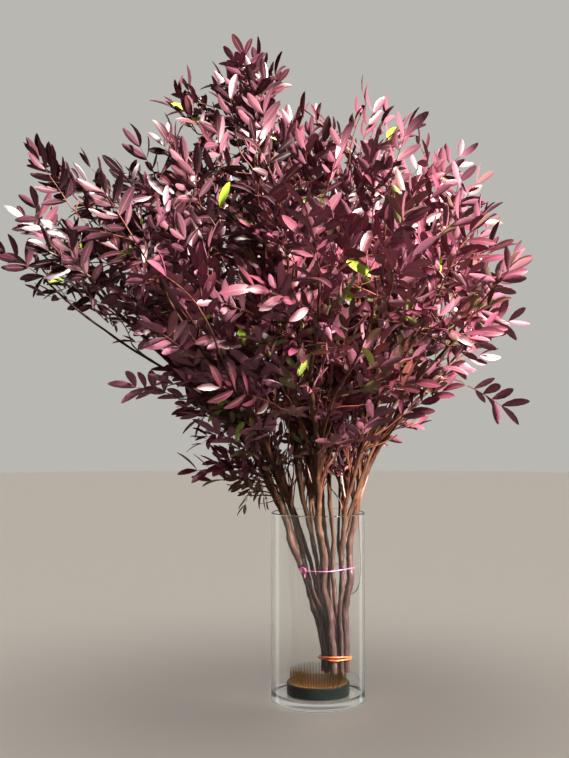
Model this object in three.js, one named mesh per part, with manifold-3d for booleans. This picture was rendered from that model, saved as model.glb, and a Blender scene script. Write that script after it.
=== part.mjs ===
// Preserved pistachio branches in a clear glass cylinder vase, held by a brass-pinned flower frog.
// Millimetres, +Z up. The origin is the middle of the vase's foot, on the surface it stands on,
// and -Y is the side that faces the viewer.
import * as THREE from "three";
import { mergeVertices } from "three/addons/utils/BufferGeometryUtils.js";
import Module from "manifold-3d";

const wasm = await Module();
wasm.setup();

// Clearance between pieces that touch on the real object
const SEAT = 0.3;

// Vase, a 15 by 30 cm glass cylinder with a thick floor
const VASE_RADIUS = 75;
const VASE_HEIGHT = 300;
const VASE_WALL = 3.5;
const VASE_FLOOR = 13;
const VASE_FOOT_ROUND = 7;
const VASE_FACETS = 32;

// Flower frog: a cast weight in a rubber ring, under a brass plate of pins
const FROG_RADIUS = 50;
const FROG_HEIGHT = 18.5;
const RING_WALL = 3;
const PLATE_THICKNESS = 2;
const PLATE_LIP = 1.2;
const PIN_LENGTH = 21;
const PIN_RADIUS = 1.1;
const PIN_SPACING = 8;
const PIN_CLEARANCE = 1.5;
const FROG_FACETS = 28;
const PLATE_TOP = VASE_FLOOR + SEAT + FROG_HEIGHT;
const PIN_TIP = PLATE_TOP + PIN_LENGTH;

// Bundle: two rings of stems, gathered at the bottom and opening towards the vase's mouth
const OUTER_RADII = [6.6, 4.4, 6.2, 4.2, 6.8, 4.6, 6.4, 4.0];
const INNER_RADII = [4.1, 4.0, 4.2, 3.9];
const OUTER_RING = 17.4;
const INNER_RING = 6.4;
const OUTER_RING_AT_MOUTH = 58;
const BUNDLE_FOOT = new THREE.Vector2(28, 12);
const BUNDLE_MOUTH = new THREE.Vector2(1, 0);
const BUNDLE_TURN = 12;
const CUT_HEIGHT = PIN_TIP - 8;
const BAND_HEIGHT = 67;
const SPREAD_HEIGHT = 78;
const TIE_HEIGHT = 211;
const STEM_SWAY = 2.6;

// Rubber band, wound twice, and pink tie string
const BAND_THICKNESS = 1.1;
const BAND_HALF_RISE = 3.4;
const STRING_RADIUS = 0.8;
const KNOT_RADIUS = 2.6;

// Outline of the crown: how far foliage reaches from the middle of the mouth, at every 10 degrees
// from upright, to the left, to the right, and to the front and back
const REACH_STEP = 10;
const REACH_LEFT = [700, 795, 755, 730, 745, 675, 330, 200];
const REACH_RIGHT = [700, 685, 655, 565, 515, 450, 330, 300];
const REACH_DEPTH = [660, 660, 645, 600, 550, 470, 330, 220];
const MOUTH = new THREE.Vector3(0, 0, VASE_HEIGHT);
const UP = new THREE.Vector3(0, 0, 1);

// Lean from upright of each stem's tip, in degrees, and how its two leaders stand off from it
const OUTER_LEANS = [38, 37, 38, 42, 45, 42, 39, 36];
const INNER_LEANS = [9, 11, 10, 13];
const OUTER_LEADERS = [
  { turn: 15, lean: 5, share: 0.98 },
  { turn: -14, lean: -13, share: 0.95 },
];
const INNER_LEADERS = [
  { turn: 44, lean: 13, share: 0.97 },
  { turn: -40, lean: 8, share: 0.78 },
];
const TWIG_COUNT = 32;
const TWIG_PLACES = 360;
const TWIG_WIDEST = 50;
const TWIG_LEAST_SHARE = 0.42;
const STEM_TAPER = 0.74;
const LEADER_RADIUS = 3;
const TWIG_RADIUS = 2.3;
const TIP_RADIUS = 1.8;
const LEADER_STEPS = 4;

// Sprigs that stand out below the crown: tip and how far the end turns up or down
const LOW_SPRIGS = [
  { tip: [-122, -30, 366], rise: -0.3 },
  { tip: [-226, -60, 486], rise: 0.5 },
  { tip: [232, -50, 500], rise: -1.6 },
  { tip: [118, -70, 445], rise: 0.2 },
  { tip: [-60, -175, 470], rise: -0.2 },
  { tip: [40, 190, 480], rise: 0.1 },
  { tip: [-170, 40, 445], rise: 0.2 },
  { tip: [-95, 110, 420], rise: 0 },
  { tip: [160, 50, 470], rise: 0.2 },
  { tip: [60, -90, 405], rise: 0.3 },
];

// Fronds: a rib with leaflets in near-opposite pairs and no end leaflet
const FIRST_PAIR = 15;
const PAIR_SPACING = 18;
const RIB_WIDTH = 2.2;
const ROOT_WIDTH = 1.6;
const BLADE_THICKNESS = 0.8;
const LEAFLET_LENGTH = 42;
const LEAFLET_WIDTH = 13.5;
const LEAFLET_ANGLE = 56;
const END_ANGLE = 30;
const SIDE_STAGGER = 3;
const RIB_DROOP = 420;
const BLADE_LIFT = 0.24;
const BLADE_CURL = 190;
const FROND_REACH = 90;
const BLADE_CLEARANCE = 1.2;
const STEM_CLEARANCE = 1.5;

// Steps of golden sequences, which scatter twigs and turns evenly
const GOLDEN_TURN = 137.508;
const GOLDEN_SHARE = 0.61803398875;

const radians = THREE.MathUtils.degToRad;
const lerp = THREE.MathUtils.lerp;
const clamp = THREE.MathUtils.clamp;

function fraction(value) {
  return value - Math.floor(value);
}

function scatter(index) {
  return fraction(index * GOLDEN_SHARE);
}

function solidFrom(geometry) {
  const bare = new THREE.BufferGeometry().setAttribute("position", geometry.getAttribute("position"));
  bare.setIndex(geometry.index);
  const merged = mergeVertices(bare, 1e-4);
  const triVerts = new Uint32Array(merged.index.array);
  return new wasm.Manifold(
    new wasm.Mesh({ numProp: 3, vertProperties: merged.attributes.position.array, triVerts }),
  );
}

function geometryFrom(solid) {
  const mesh = solid.getMesh();
  const geometry = new THREE.BufferGeometry();
  geometry.setAttribute("position", new THREE.BufferAttribute(mesh.vertProperties, 3));
  geometry.setIndex(new THREE.BufferAttribute(mesh.triVerts, 1));
  return geometry;
}

function fuse(geometries) {
  const solids = geometries.map(solidFrom);
  return geometryFrom(solids.reduce((whole, next) => whole.add(next)));
}

// A profile of [radius, height] pairs, turned about the Z axis
function turned(profile, facets) {
  const points = profile.map(([radius, height]) => new THREE.Vector2(radius, height));
  return new THREE.LatheGeometry(points, facets).rotateX(Math.PI / 2);
}

// A quarter arc in a profile, from one angle to another in degrees
function arc(centreRadius, centreHeight, radius, from, to, steps) {
  return Array.from({ length: steps + 1 }, (_, i) => {
    const angle = radians(lerp(from, to, i / steps));
    return [centreRadius + radius * Math.cos(angle), centreHeight + radius * Math.sin(angle)];
  });
}

// Faces between two rings of corners, which may differ in number
function bridge(faces, ring, next) {
  const steps = Math.max(ring.length, next.length);
  const at = (corners, step) => corners[Math.floor(((step % steps) * corners.length) / steps)];
  for (let step = 0; step < steps; step += 1) {
    const [a, b] = [at(ring, step), at(ring, step + 1)];
    const [d, c] = [at(next, step), at(next, step + 1)];
    if (a !== b) faces.push(a, b, c);
    if (c !== d) faces.push(a, c, d);
  }
}

function cap(faces, ring) {
  for (let i = 1; i < ring.length - 1; i += 1) faces.push(ring[0], ring[i], ring[i + 1]);
}

// A tapering rod with its rings square to the line through the points. It ends in a cap, or runs
// into the root of a blade, whose four root corners then stand in for the last ring.
function rod(points, radii, sides, blade = null) {
  const positions = blade ? [...blade.corners] : [];
  const faces = blade ? [...blade.faces] : [];
  const last = points.length - 1;
  const across = blade ? blade.across.clone() : new THREE.Vector3(0.6, 0.8, 0);
  const rings = points.map(() => []);
  for (let i = last; i >= 0; i -= 1) {
    if (blade && i === last) {
      rings[i] = blade.root;
      continue;
    }
    const tangent = points[Math.min(i + 1, last)].clone().sub(points[Math.max(i - 1, 0)]).normalize();
    across.addScaledVector(tangent, -across.dot(tangent)).normalize();
    const beside = tangent.clone().cross(across);
    for (let side = 0; side < sides; side += 1) {
      const angle = (2 * Math.PI * (side + 0.5)) / sides;
      const corner = points[i].clone();
      corner.addScaledVector(across, radii[i] * Math.cos(angle));
      corner.addScaledVector(beside, radii[i] * Math.sin(angle));
      rings[i].push(positions.length);
      positions.push(corner);
    }
  }
  cap(faces, [...rings[0]].reverse());
  for (let i = 0; i < last; i += 1) bridge(faces, rings[i], rings[i + 1]);
  if (!blade) cap(faces, rings[last]);
  const geometry = new THREE.BufferGeometry().setFromPoints(positions);
  geometry.setIndex(faces);
  return geometry;
}

function vase() {
  const inner = VASE_RADIUS - VASE_WALL;
  const lip = VASE_WALL / 2;
  const floorRound = VASE_FOOT_ROUND;
  return turned(
    [
      [0, 0],
      ...arc(VASE_RADIUS - VASE_FOOT_ROUND, VASE_FOOT_ROUND, VASE_FOOT_ROUND, -90, 0, 2),
      ...arc(VASE_RADIUS - lip, VASE_HEIGHT - lip, lip, 0, 180, 2),
      ...arc(inner - floorRound, VASE_FLOOR + floorRound, floorRound, 0, -90, 2),
      [0, VASE_FLOOR],
    ],
    VASE_FACETS,
  );
}

function frogRing() {
  const bottom = VASE_FLOOR + SEAT;
  const top = bottom + FROG_HEIGHT;
  const inner = FROG_RADIUS - RING_WALL;
  const bevel = 1;
  return turned(
    [
      [inner, bottom],
      [FROG_RADIUS, bottom],
      [FROG_RADIUS, top - bevel],
      [FROG_RADIUS - bevel, top],
      [inner, top],
      [inner, bottom],
    ],
    FROG_FACETS,
  );
}

function frogWeight() {
  const bottom = VASE_FLOOR + SEAT;
  const top = PLATE_TOP - PLATE_THICKNESS - SEAT;
  const radius = FROG_RADIUS - RING_WALL - SEAT;
  return turned([[0, bottom], [radius, bottom], [radius, top], [0, top]], FROG_FACETS);
}

function pin(x, y, top) {
  const foot = new THREE.Vector3(x, y, PLATE_TOP - PLATE_THICKNESS / 2);
  return rod([foot, new THREE.Vector3(x, y, top)], [PIN_RADIUS, PIN_RADIUS * 0.55], 3);
}

// The plate's pins stand in staggered rows. Where stems are pressed on, one pin reaches each cut end.
function frogPins() {
  const radius = FROG_RADIUS - RING_WALL - SEAT;
  const bottom = PLATE_TOP - PLATE_THICKNESS;
  const field = radius - PLATE_LIP - PIN_RADIUS;
  const plate = turned([[0, bottom], [radius, bottom], [radius, PLATE_TOP], [0, PLATE_TOP]], FROG_FACETS);
  const feet = stemFeet();
  const pins = feet.map((foot) => {
    const place = new THREE.Vector2(foot.x, foot.y).clampLength(0, field);
    return pin(place.x, place.y, CUT_HEIGHT - SEAT);
  });
  const rowSpacing = PIN_SPACING * Math.sin(Math.PI / 3);
  const rows = Math.ceil(field / rowSpacing);
  for (let row = -rows; row <= rows; row += 1) {
    for (let column = -rows; column <= rows; column += 1) {
      const x = (column + (row % 2 ? 0.5 : 0)) * PIN_SPACING;
      const y = row * rowSpacing;
      const isFree = feet.every((foot) => Math.hypot(x - foot.x, y - foot.y) > foot.radius + PIN_CLEARANCE);
      if (isFree && Math.hypot(x, y) < field) pins.push(pin(x, y, PIN_TIP));
    }
  }
  return fuse([plate, ...pins]);
}

// Where the bundle's middle is at a height, and how far the outer ring has opened
function opening(z) {
  return clamp((z - SPREAD_HEIGHT) / (VASE_HEIGHT - SPREAD_HEIGHT), 0, 1);
}

function outerRing(z) {
  return lerp(OUTER_RING, OUTER_RING_AT_MOUTH, opening(z) ** 1.35);
}

function bundleMiddle(z) {
  return BUNDLE_FOOT.clone().lerp(BUNDLE_MOUTH, opening(z));
}

// The stems: azimuth at the mouth, ring and thickness
const STEMS = [
  ...OUTER_RADII.map((radius, i) => ({
    azimuth: (360 / OUTER_RADII.length) * i,
    ring: OUTER_RING,
    radius,
    lean: OUTER_LEANS[i],
    leaders: OUTER_LEADERS,
  })),
  ...INNER_RADII.map((radius, i) => ({
    azimuth: (360 / INNER_RADII.length) * (i + 0.25),
    ring: INNER_RING,
    radius,
    lean: INNER_LEANS[i],
    leaders: INNER_LEADERS,
  })),
];

function stemInVase(stem, z) {
  const open = opening(z);
  const angle = radians(stem.azimuth - BUNDLE_TURN * (1 - open));
  const sway = STEM_SWAY * 4 * open * (1 - open);
  const out = (outerRing(z) * stem.ring) / OUTER_RING + sway * Math.sin(z / 24 + stem.azimuth);
  const aside = sway * Math.cos(z / 19 + 1.7 * stem.azimuth);
  const middle = bundleMiddle(z);
  return new THREE.Vector3(
    middle.x + out * Math.cos(angle) - aside * Math.sin(angle),
    middle.y + out * Math.sin(angle) + aside * Math.cos(angle),
    z,
  );
}

function stemFeet() {
  return STEMS.map((stem) => {
    const foot = stemInVase(stem, CUT_HEIGHT);
    return { x: foot.x, y: foot.y, radius: stem.radius };
  });
}

function direction(polar, azimuth) {
  const away = Math.sin(radians(polar));
  return new THREE.Vector3(
    away * Math.cos(radians(azimuth)),
    away * Math.sin(radians(azimuth)),
    Math.cos(radians(polar)),
  );
}

function alongTable(table, polar) {
  const place = Math.min(polar / REACH_STEP, table.length - 1.001);
  const low = Math.floor(place);
  return lerp(table[low], table[low + 1], place - low);
}

function crownReach(polar, azimuth) {
  const side = Math.cos(radians(azimuth));
  const sideways = alongTable(side < 0 ? REACH_LEFT : REACH_RIGHT, polar);
  return sideways * side * side + alongTable(REACH_DEPTH, polar) * (1 - side * side);
}

function crownPoint(polar, azimuth, share) {
  const away = (crownReach(polar, azimuth) - FROND_REACH) * share;
  return direction(polar, azimuth).multiplyScalar(away).add(MOUTH);
}

// A limb's line from a point on its parent to its tip, with small kinks as it grows
function limbLine(start, heading, tip, rise, steps, phase) {
  const span = tip.distanceTo(start);
  const outward = tip.clone().sub(MOUTH).normalize();
  const ending = outward.clone().addScaledVector(UP, rise).normalize();
  const first = start.clone().addScaledVector(heading, span * 0.34);
  const second = tip.clone().addScaledVector(ending, -span * 0.3);
  const curve = new THREE.CubicBezierCurve3(start, first, second, tip);
  const kink = heading.clone().cross(outward).normalize();
  return Array.from({ length: steps + 1 }, (_, i) => {
    const t = i / steps;
    const bend = 0.016 * span * Math.sin(Math.PI * t) * Math.sin(9 * t + phase);
    return curve.getPoint(t).addScaledVector(kink, bend);
  });
}

const limbs = [];

function addLimb(branch, points, radii, sides) {
  limbs.push({ branch, points, radii, sides });
  return limbs[limbs.length - 1];
}

function taper(steps, from, to) {
  return Array.from({ length: steps + 1 }, (_, i) => lerp(from, to, i / steps));
}

function growStem(stem, branch) {
  const heights = [CUT_HEIGHT, SPREAD_HEIGHT, 140, TIE_HEIGHT, 256, VASE_HEIGHT];
  const low = heights.map((z) => stemInVase(stem, z));
  const mouth = low[low.length - 1];
  const heading = mouth.clone().sub(low[low.length - 2]).normalize();
  const tip = crownPoint(stem.lean, stem.azimuth, 1);
  const steps = 7;
  const high = limbLine(mouth, heading, tip, 0.25, steps, branch).slice(1);
  const lowRadii = taper(heights.length - 1, stem.radius, stem.radius * 0.9);
  const highRadii = taper(steps, stem.radius * 0.9, stem.radius * (1 - STEM_TAPER)).slice(1);
  return addLimb(branch, [...low, ...high], [...lowRadii, ...highRadii], 5);
}

// A point and heading part of the way along a limb
function placeOn(limb, place) {
  const i = Math.min(Math.floor(place), limb.points.length - 2);
  const from = limb.points[i];
  const to = limb.points[i + 1];
  const share = place - i;
  return {
    point: from.clone().lerp(to, share),
    heading: to.clone().sub(from).normalize(),
    radius: lerp(limb.radii[i], limb.radii[i + 1], share),
  };
}

function growLeader(stem, branch, parent, leader, order) {
  const mouthIndex = 5;
  const fork = placeOn(parent, mouthIndex + 0.7 + 1.1 * order + 0.5 * scatter(branch + 3));
  const tip = crownPoint(stem.lean + leader.lean, stem.azimuth + leader.turn, leader.share);
  const points = limbLine(fork.point, fork.heading, tip, 0.2, LEADER_STEPS, branch + 2 * order + 1);
  addLimb(branch, points, taper(LEADER_STEPS, Math.min(LEADER_RADIUS, fork.radius * 0.8), TIP_RADIUS), 4);
}

// Least distance between two lists of balls, less their radii
function gapBetween(balls, others) {
  let least = Infinity;
  for (const a of balls) {
    for (const b of others) {
      const apart = a.point.distanceTo(b.point) - a.radius - b.radius;
      if (apart < least) least = apart;
    }
  }
  return least;
}

function limbBalls(points, radii) {
  const balls = [];
  for (let i = 0; i < points.length - 1; i += 1) {
    const count = Math.ceil(points[i].distanceTo(points[i + 1]) / 7);
    for (let j = 0; j < count; j += 1) {
      balls.push({
        point: points[i].clone().lerp(points[i + 1], j / count),
        radius: lerp(radii[i], radii[i + 1], j / count),
      });
    }
  }
  balls.push({ point: points[points.length - 1], radius: radii[radii.length - 1] });
  return balls;
}

const taken = STEMS.map(() => []);

function othersOf(branch) {
  return taken.filter((_, i) => i !== branch).flat();
}

// The place above the mouth from which a twig reaches its tip over the shortest natural curve
function bestFork(tip) {
  let best = { cost: Infinity };
  for (const limb of limbs) {
    for (let place = 0.5; place < limb.points.length - 1.4; place += 0.25) {
      const fork = placeOn(limb, place);
      if (fork.point.z < VASE_HEIGHT + 25) continue;
      const way = tip.clone().sub(fork.point);
      const span = way.length();
      const turn = 1 - way.dot(fork.heading) / span;
      const cost = span * (1 + 3 * turn * turn);
      if (span > 60 && cost < best.cost) best = { ...fork, cost, branch: limb.branch };
    }
  }
  return best;
}

function growTwig(tip, rise, phase) {
  const fork = bestFork(tip);
  const steps = fork.cost > 220 ? 4 : 3;
  const points = limbLine(fork.point, fork.heading, tip, rise, steps, phase);
  const radii = taper(steps, Math.min(TWIG_RADIUS, fork.radius * 0.85), TIP_RADIUS);
  if (gapBetween(limbBalls(points, radii), othersOf(fork.branch)) < STEM_CLEARANCE) return false;
  addLimb(fork.branch, points, radii, 3);
  taken[fork.branch].push(...limbBalls(points, radii));
  return true;
}

// How empty the crown still is round a place: its distance from the nearest tip
function emptiness(place) {
  return Math.min(...limbs.map(({ points }) => points[points.length - 1].distanceTo(place)));
}

// Twigs grow into the emptiest places of the crown, one after the other, as the light draws them
function growTwigs() {
  const cap = 1 - Math.cos(radians(TWIG_WIDEST));
  const places = Array.from({ length: TWIG_PLACES }, (_, i) => {
    const polar = THREE.MathUtils.radToDeg(Math.acos(1 - (cap * (i + 0.5)) / TWIG_PLACES));
    return crownPoint(polar, i * GOLDEN_TURN, lerp(TWIG_LEAST_SHARE, 1, Math.sqrt(scatter(i))));
  });
  let grown = 0;
  while (grown < TWIG_COUNT) {
    const empty = places.map(emptiness);
    const [place] = places.splice(empty.indexOf(Math.max(...empty)), 1);
    if (growTwig(place, 0.3, grown)) grown += 1;
  }
}

function growCrown() {
  STEMS.forEach((stem, branch) => {
    const main = growStem(stem, branch);
    stem.leaders.forEach((leader, order) => growLeader(stem, branch, main, leader, order));
  });
  limbs.forEach((limb) => taken[limb.branch].push(...limbBalls(limb.points, limb.radii)));
  LOW_SPRIGS.forEach(({ tip, rise }, i) => growTwig(new THREE.Vector3(...tip), rise, i));
  growTwigs();
}

// Leaflets of a frond: where each leaves the rib, its side, angle and length
function leafletsOf(pairs) {
  const leaflets = [];
  for (let pair = 0; pair < pairs; pair += 1) {
    const last = pair === pairs - 1;
    for (const side of [1, -1]) {
      const stagger = side > 0 || last ? 0 : SIDE_STAGGER;
      leaflets.push({
        place: FIRST_PAIR + PAIR_SPACING * pair - stagger,
        side,
        angle: last ? END_ANGLE : LEAFLET_ANGLE - 3 * pair,
        length: LEAFLET_LENGTH * (pair === 0 ? 0.86 : 1),
      });
    }
  }
  return leaflets;
}

// Height of a frond's surface over its flat outline: the rib droops, blades lift and curl back
function frondHeight(x, y) {
  return -(x * x) / RIB_DROOP + BLADE_LIFT * Math.abs(y) - (y * y) / BLADE_CURL;
}

// One leaflet's outline, from the near side of its foot to the far side
function leafletOutline({ place, side, angle, length }, isLast) {
  const along = new THREE.Vector2(Math.cos(radians(angle)), side * Math.sin(radians(angle)));
  const across = new THREE.Vector2(along.y, -along.x).multiplyScalar(side);
  const foot = new THREE.Vector2(place, (side * RIB_WIDTH) / 2);
  const at = (share, width) =>
    foot
      .clone()
      .addScaledVector(along, share * length)
      .addScaledVector(across, width * LEAFLET_WIDTH);
  const outline = [
    foot.clone().add(new THREE.Vector2(-1.1, 0)),
    at(0.52, -0.5),
    at(1, 0.02),
    at(0.64, 0.48),
  ];
  return isLast ? outline : [...outline, foot.clone().add(new THREE.Vector2(1.1, 0))];
}

// A frond as one thin arched blade, cut to the rib between its leaflets and open at its root, where
// the limb that carries it runs into its four corners
function frondBlade(pairs, frame) {
  const leaflets = leafletsOf(pairs);
  const oneSide = (side) => {
    const those = leaflets.filter((leaflet) => leaflet.side === side);
    return those.flatMap((leaflet, i) => leafletOutline(leaflet, i === those.length - 1));
  };
  const ribEnd = new THREE.Vector2(FIRST_PAIR + PAIR_SPACING * (pairs - 1) + 3.4, 0);
  const root = new THREE.Vector2(0, ROOT_WIDTH / 2);
  const outline = [
    new THREE.Vector2(root.x, -root.y),
    ...oneSide(-1),
    ribEnd,
    ...oneSide(1).reverse(),
    root,
  ];
  const blade = new THREE.ExtrudeGeometry(new THREE.Shape(outline), {
    depth: BLADE_THICKNESS,
    bevelEnabled: false,
  });
  blade.deleteAttribute("normal");
  blade.deleteAttribute("uv");
  const { attributes, index } = mergeVertices(blade, 1e-4);
  const flat = Array.from({ length: attributes.position.count }, (_, i) =>
    new THREE.Vector3().fromBufferAttribute(attributes.position, i),
  );
  const atRoot = flat.map((corner) => corner.x < 1e-3);
  const rootCorner = (beside, above) =>
    flat.findIndex((corner, i) => atRoot[i] && corner.y > 0 === beside && corner.z > 0 === above);
  const faces = [];
  for (let i = 0; i < index.count; i += 3) {
    const face = [index.getX(i), index.getX(i + 1), index.getX(i + 2)];
    if (!face.every((corner) => atRoot[corner])) faces.push(...face);
  }
  const corners = flat.map((corner) => {
    const rise = frondHeight(corner.x, corner.y) - BLADE_THICKNESS / 2;
    return new THREE.Vector3(corner.x, corner.y, corner.z + rise).applyMatrix4(frame);
  });
  return {
    corners,
    faces,
    root: [[true, true], [false, true], [false, false], [true, false]].map((at) => rootCorner(...at)),
    across: new THREE.Vector3().setFromMatrixColumn(frame, 1),
  };
}

function frondBalls(pairs) {
  const balls = [];
  for (let x = 6; x < FIRST_PAIR + PAIR_SPACING * (pairs - 1); x += 6) {
    balls.push({ point: new THREE.Vector3(x, 0, frondHeight(x, 0)), radius: 1.6 });
  }
  for (const { place, side, angle, length } of leafletsOf(pairs)) {
    for (const [share, radius] of [[0.25, 4], [0.5, 6.3], [0.72, 5.6], [0.95, 2.4]]) {
      const x = place + share * length * Math.cos(radians(angle));
      const y = side * (RIB_WIDTH / 2 + share * length * Math.sin(radians(angle)));
      balls.push({ point: new THREE.Vector3(x, y, frondHeight(x, y)), radius });
    }
  }
  return balls;
}

// The frame of a frond at a limb's tip: along the limb, its face turned up and out
function frondFrame(limb, roll, pitch) {
  const count = limb.points.length;
  const tip = limb.points[count - 1];
  const along = tip.clone().sub(limb.points[count - 2]).normalize();
  const outward = tip.clone().sub(MOUTH).normalize().add(UP);
  const face = outward.addScaledVector(along, -outward.dot(along)).normalize();
  face.applyAxisAngle(along, radians(roll));
  const beside = face.clone().cross(along);
  along.applyAxisAngle(beside, radians(pitch));
  face.applyAxisAngle(beside, radians(pitch));
  return new THREE.Matrix4().makeBasis(along, beside, face).setPosition(tip);
}

// A frond that would cross another branch is rolled or bent clear, or loses its first pair
function growFrond(limb, index) {
  for (let attempt = 0; attempt < 24; attempt += 1) {
    const pairs = attempt < 14 && index % 3 === 1 ? 4 : 3;
    const roll = (index % 2 ? 1 : -1) * (25 + 45 * scatter(index + 0.37) + 29 * attempt);
    const pitch = 10 * scatter(index + 0.11) - 4 * (attempt % 5);
    const frame = frondFrame(limb, roll, pitch);
    const balls = frondBalls(pairs).map(({ point, radius }) => ({
      point: point.applyMatrix4(frame),
      radius,
    }));
    if (gapBetween(balls, othersOf(limb.branch)) < BLADE_CLEARANCE) continue;
    limb.blade = frondBlade(pairs, frame);
    taken[limb.branch].push(...balls);
    return;
  }
}

function bundleLoop(z, clearance, turns, stations, path) {
  const outer = STEMS.slice(0, OUTER_RADII.length);
  const middle = bundleMiddle(z);
  return Array.from({ length: stations }, (_, i) => {
    const wound = (turns * 2 * Math.PI * i) / stations;
    const { lift, out } = path(wound);
    const heading = new THREE.Vector2(Math.cos(wound), Math.sin(wound));
    const reaches = outer.map((stem) => {
      const at = stemInVase(stem, z + lift);
      const from = new THREE.Vector2(at.x, at.y).sub(middle);
      return from.dot(heading) + stem.radius + clearance;
    });
    const reach = Math.max(...reaches) + out;
    return new THREE.Vector3(middle.x + heading.x * reach, middle.y + heading.y * reach, z + lift);
  });
}

function rubberBand() {
  const crossing = Math.PI;
  const points = bundleLoop(BAND_HEIGHT, SEAT + BAND_THICKNESS, 2, 40, (wound) => {
    const past = wound - crossing;
    const turn = past < 0 || past >= 2 * Math.PI ? -1 : 1;
    const within = past - 2 * Math.PI * Math.floor(past / (2 * Math.PI));
    const rise = BAND_HALF_RISE * Math.abs(Math.sin(within)) + 1.3 * Math.sin(within / 2);
    const over = Math.exp(-(((wound - 3 * Math.PI) / 0.55) ** 2));
    return { lift: turn * rise, out: 2.7 * over };
  });
  const curve = new THREE.CatmullRomCurve3(points, true);
  return new THREE.TubeGeometry(curve, 40, BAND_THICKNESS, 4, true);
}

function tieString() {
  const tilt = 1.5;
  const points = bundleLoop(TIE_HEIGHT, SEAT + STRING_RADIUS, 1, 32, (wound) => ({
    lift: tilt * Math.cos(wound),
    out: 0,
  }));
  const loop = new THREE.TubeGeometry(new THREE.CatmullRomCurve3(points, true), 28, STRING_RADIUS, 3, true);
  const at = points[20];
  const out = new THREE.Vector3(at.x, at.y, 0).sub(new THREE.Vector3(...bundleMiddle(TIE_HEIGHT), 0));
  out.normalize();
  const knotAt = at.clone().addScaledVector(out, KNOT_RADIUS - STRING_RADIUS);
  const knot = new THREE.IcosahedronGeometry(KNOT_RADIUS, 0).translate(...knotAt);
  const tails = [-1, 1].map((side) => {
    const end = knotAt.clone().addScaledVector(out, 3).add(new THREE.Vector3(3 * side, 0, -9 - side));
    return rod([knotAt, end], [STRING_RADIUS, STRING_RADIUS], 3);
  });
  return fuse([loop, knot, ...tails]);
}

function branchSolid(branch) {
  const rods = limbs
    .filter((limb) => limb.branch === branch)
    .map((limb) => rod(limb.points, limb.radii, limb.sides, limb.blade));
  return fuse(rods);
}

const finishes = {
  glass: { color: 0xe6efe9, roughness: 0.03, metalness: 0, transparent: true, opacity: 0.3 },
  rubber: { color: 0x26302d, roughness: 0.6, metalness: 0 },
  castLead: { color: 0x5a5c5c, roughness: 0.55, metalness: 0.7 },
  brass: { color: 0xa8812f, roughness: 0.35, metalness: 1 },
  elastic: { color: 0xd9834a, roughness: 0.5, metalness: 0 },
  string: { color: 0xe3a6bd, roughness: 0.8, metalness: 0 },
  foliage: { color: 0x62283a, roughness: 0.5, metalness: 0 },
};

const group = new THREE.Group();

function addPiece(name, geometry, finish) {
  const mesh = new THREE.Mesh(geometry, new THREE.MeshStandardMaterial(finishes[finish]));
  mesh.name = name;
  group.add(mesh);
}

growCrown();
limbs.forEach((limb, index) => growFrond(limb, index));

addPiece("vase", vase(), "glass");
addPiece("frog_ring", frogRing(), "rubber");
addPiece("frog_weight", frogWeight(), "castLead");
addPiece("frog_pins", frogPins(), "brass");
addPiece("rubber_band", rubberBand(), "elastic");
addPiece("tie_string", tieString(), "string");
STEMS.forEach((_, branch) => {
  addPiece(`branch_${String(branch + 1).padStart(2, "0")}`, branchSolid(branch), "foliage");
});

export default group;
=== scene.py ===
"""Preserved pistachio branches standing in a clear glass cylinder vase, on a brass-pinned flower frog.

Growth is worked out in millimetres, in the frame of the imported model, and meshes are made in metres.
The origin is the middle of the vase's foot, +Z is up and -Y faces the viewer.
"""

import math
from collections import namedtuple

import bmesh
import bpy
import numpy as np
from bpy.props import FloatProperty, FloatVectorProperty, IntProperty, PointerProperty
from mathutils import Matrix, Vector


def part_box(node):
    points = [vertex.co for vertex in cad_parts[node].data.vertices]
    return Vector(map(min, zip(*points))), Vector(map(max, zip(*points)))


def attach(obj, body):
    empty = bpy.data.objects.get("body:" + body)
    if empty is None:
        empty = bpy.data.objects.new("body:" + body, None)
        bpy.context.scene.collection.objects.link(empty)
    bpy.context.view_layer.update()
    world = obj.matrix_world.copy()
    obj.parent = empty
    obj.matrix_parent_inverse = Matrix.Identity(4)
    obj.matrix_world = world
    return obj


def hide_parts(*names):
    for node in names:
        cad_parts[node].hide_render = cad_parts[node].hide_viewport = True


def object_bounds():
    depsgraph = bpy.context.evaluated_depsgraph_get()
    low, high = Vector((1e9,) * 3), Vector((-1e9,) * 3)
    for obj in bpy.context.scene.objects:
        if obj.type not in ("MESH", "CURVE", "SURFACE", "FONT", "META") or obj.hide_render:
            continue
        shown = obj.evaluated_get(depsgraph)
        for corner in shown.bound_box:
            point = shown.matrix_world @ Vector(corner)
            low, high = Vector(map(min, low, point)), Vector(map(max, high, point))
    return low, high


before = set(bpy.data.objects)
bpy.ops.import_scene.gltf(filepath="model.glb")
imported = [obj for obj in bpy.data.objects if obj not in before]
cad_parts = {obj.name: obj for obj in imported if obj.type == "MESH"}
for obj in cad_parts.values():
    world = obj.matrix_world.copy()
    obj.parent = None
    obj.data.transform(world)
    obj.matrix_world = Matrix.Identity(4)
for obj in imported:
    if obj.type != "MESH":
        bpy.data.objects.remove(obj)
cad_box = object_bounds()

bl_info = {
    "name": "Pistachio branches in a vase",
    "version": (1, 0, 0),
    "blender": (4, 5, 0),
    "location": "3D View > Sidebar > Vase",
    "description": "Models preserved pistachio branches in a glass vase with a flower frog",
    "category": "Add Mesh",
}

MM = 0.001


def millimetres(node):
    """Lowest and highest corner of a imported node."""
    low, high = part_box(node)
    return np.array(low) / MM, np.array(high) / MM


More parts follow.
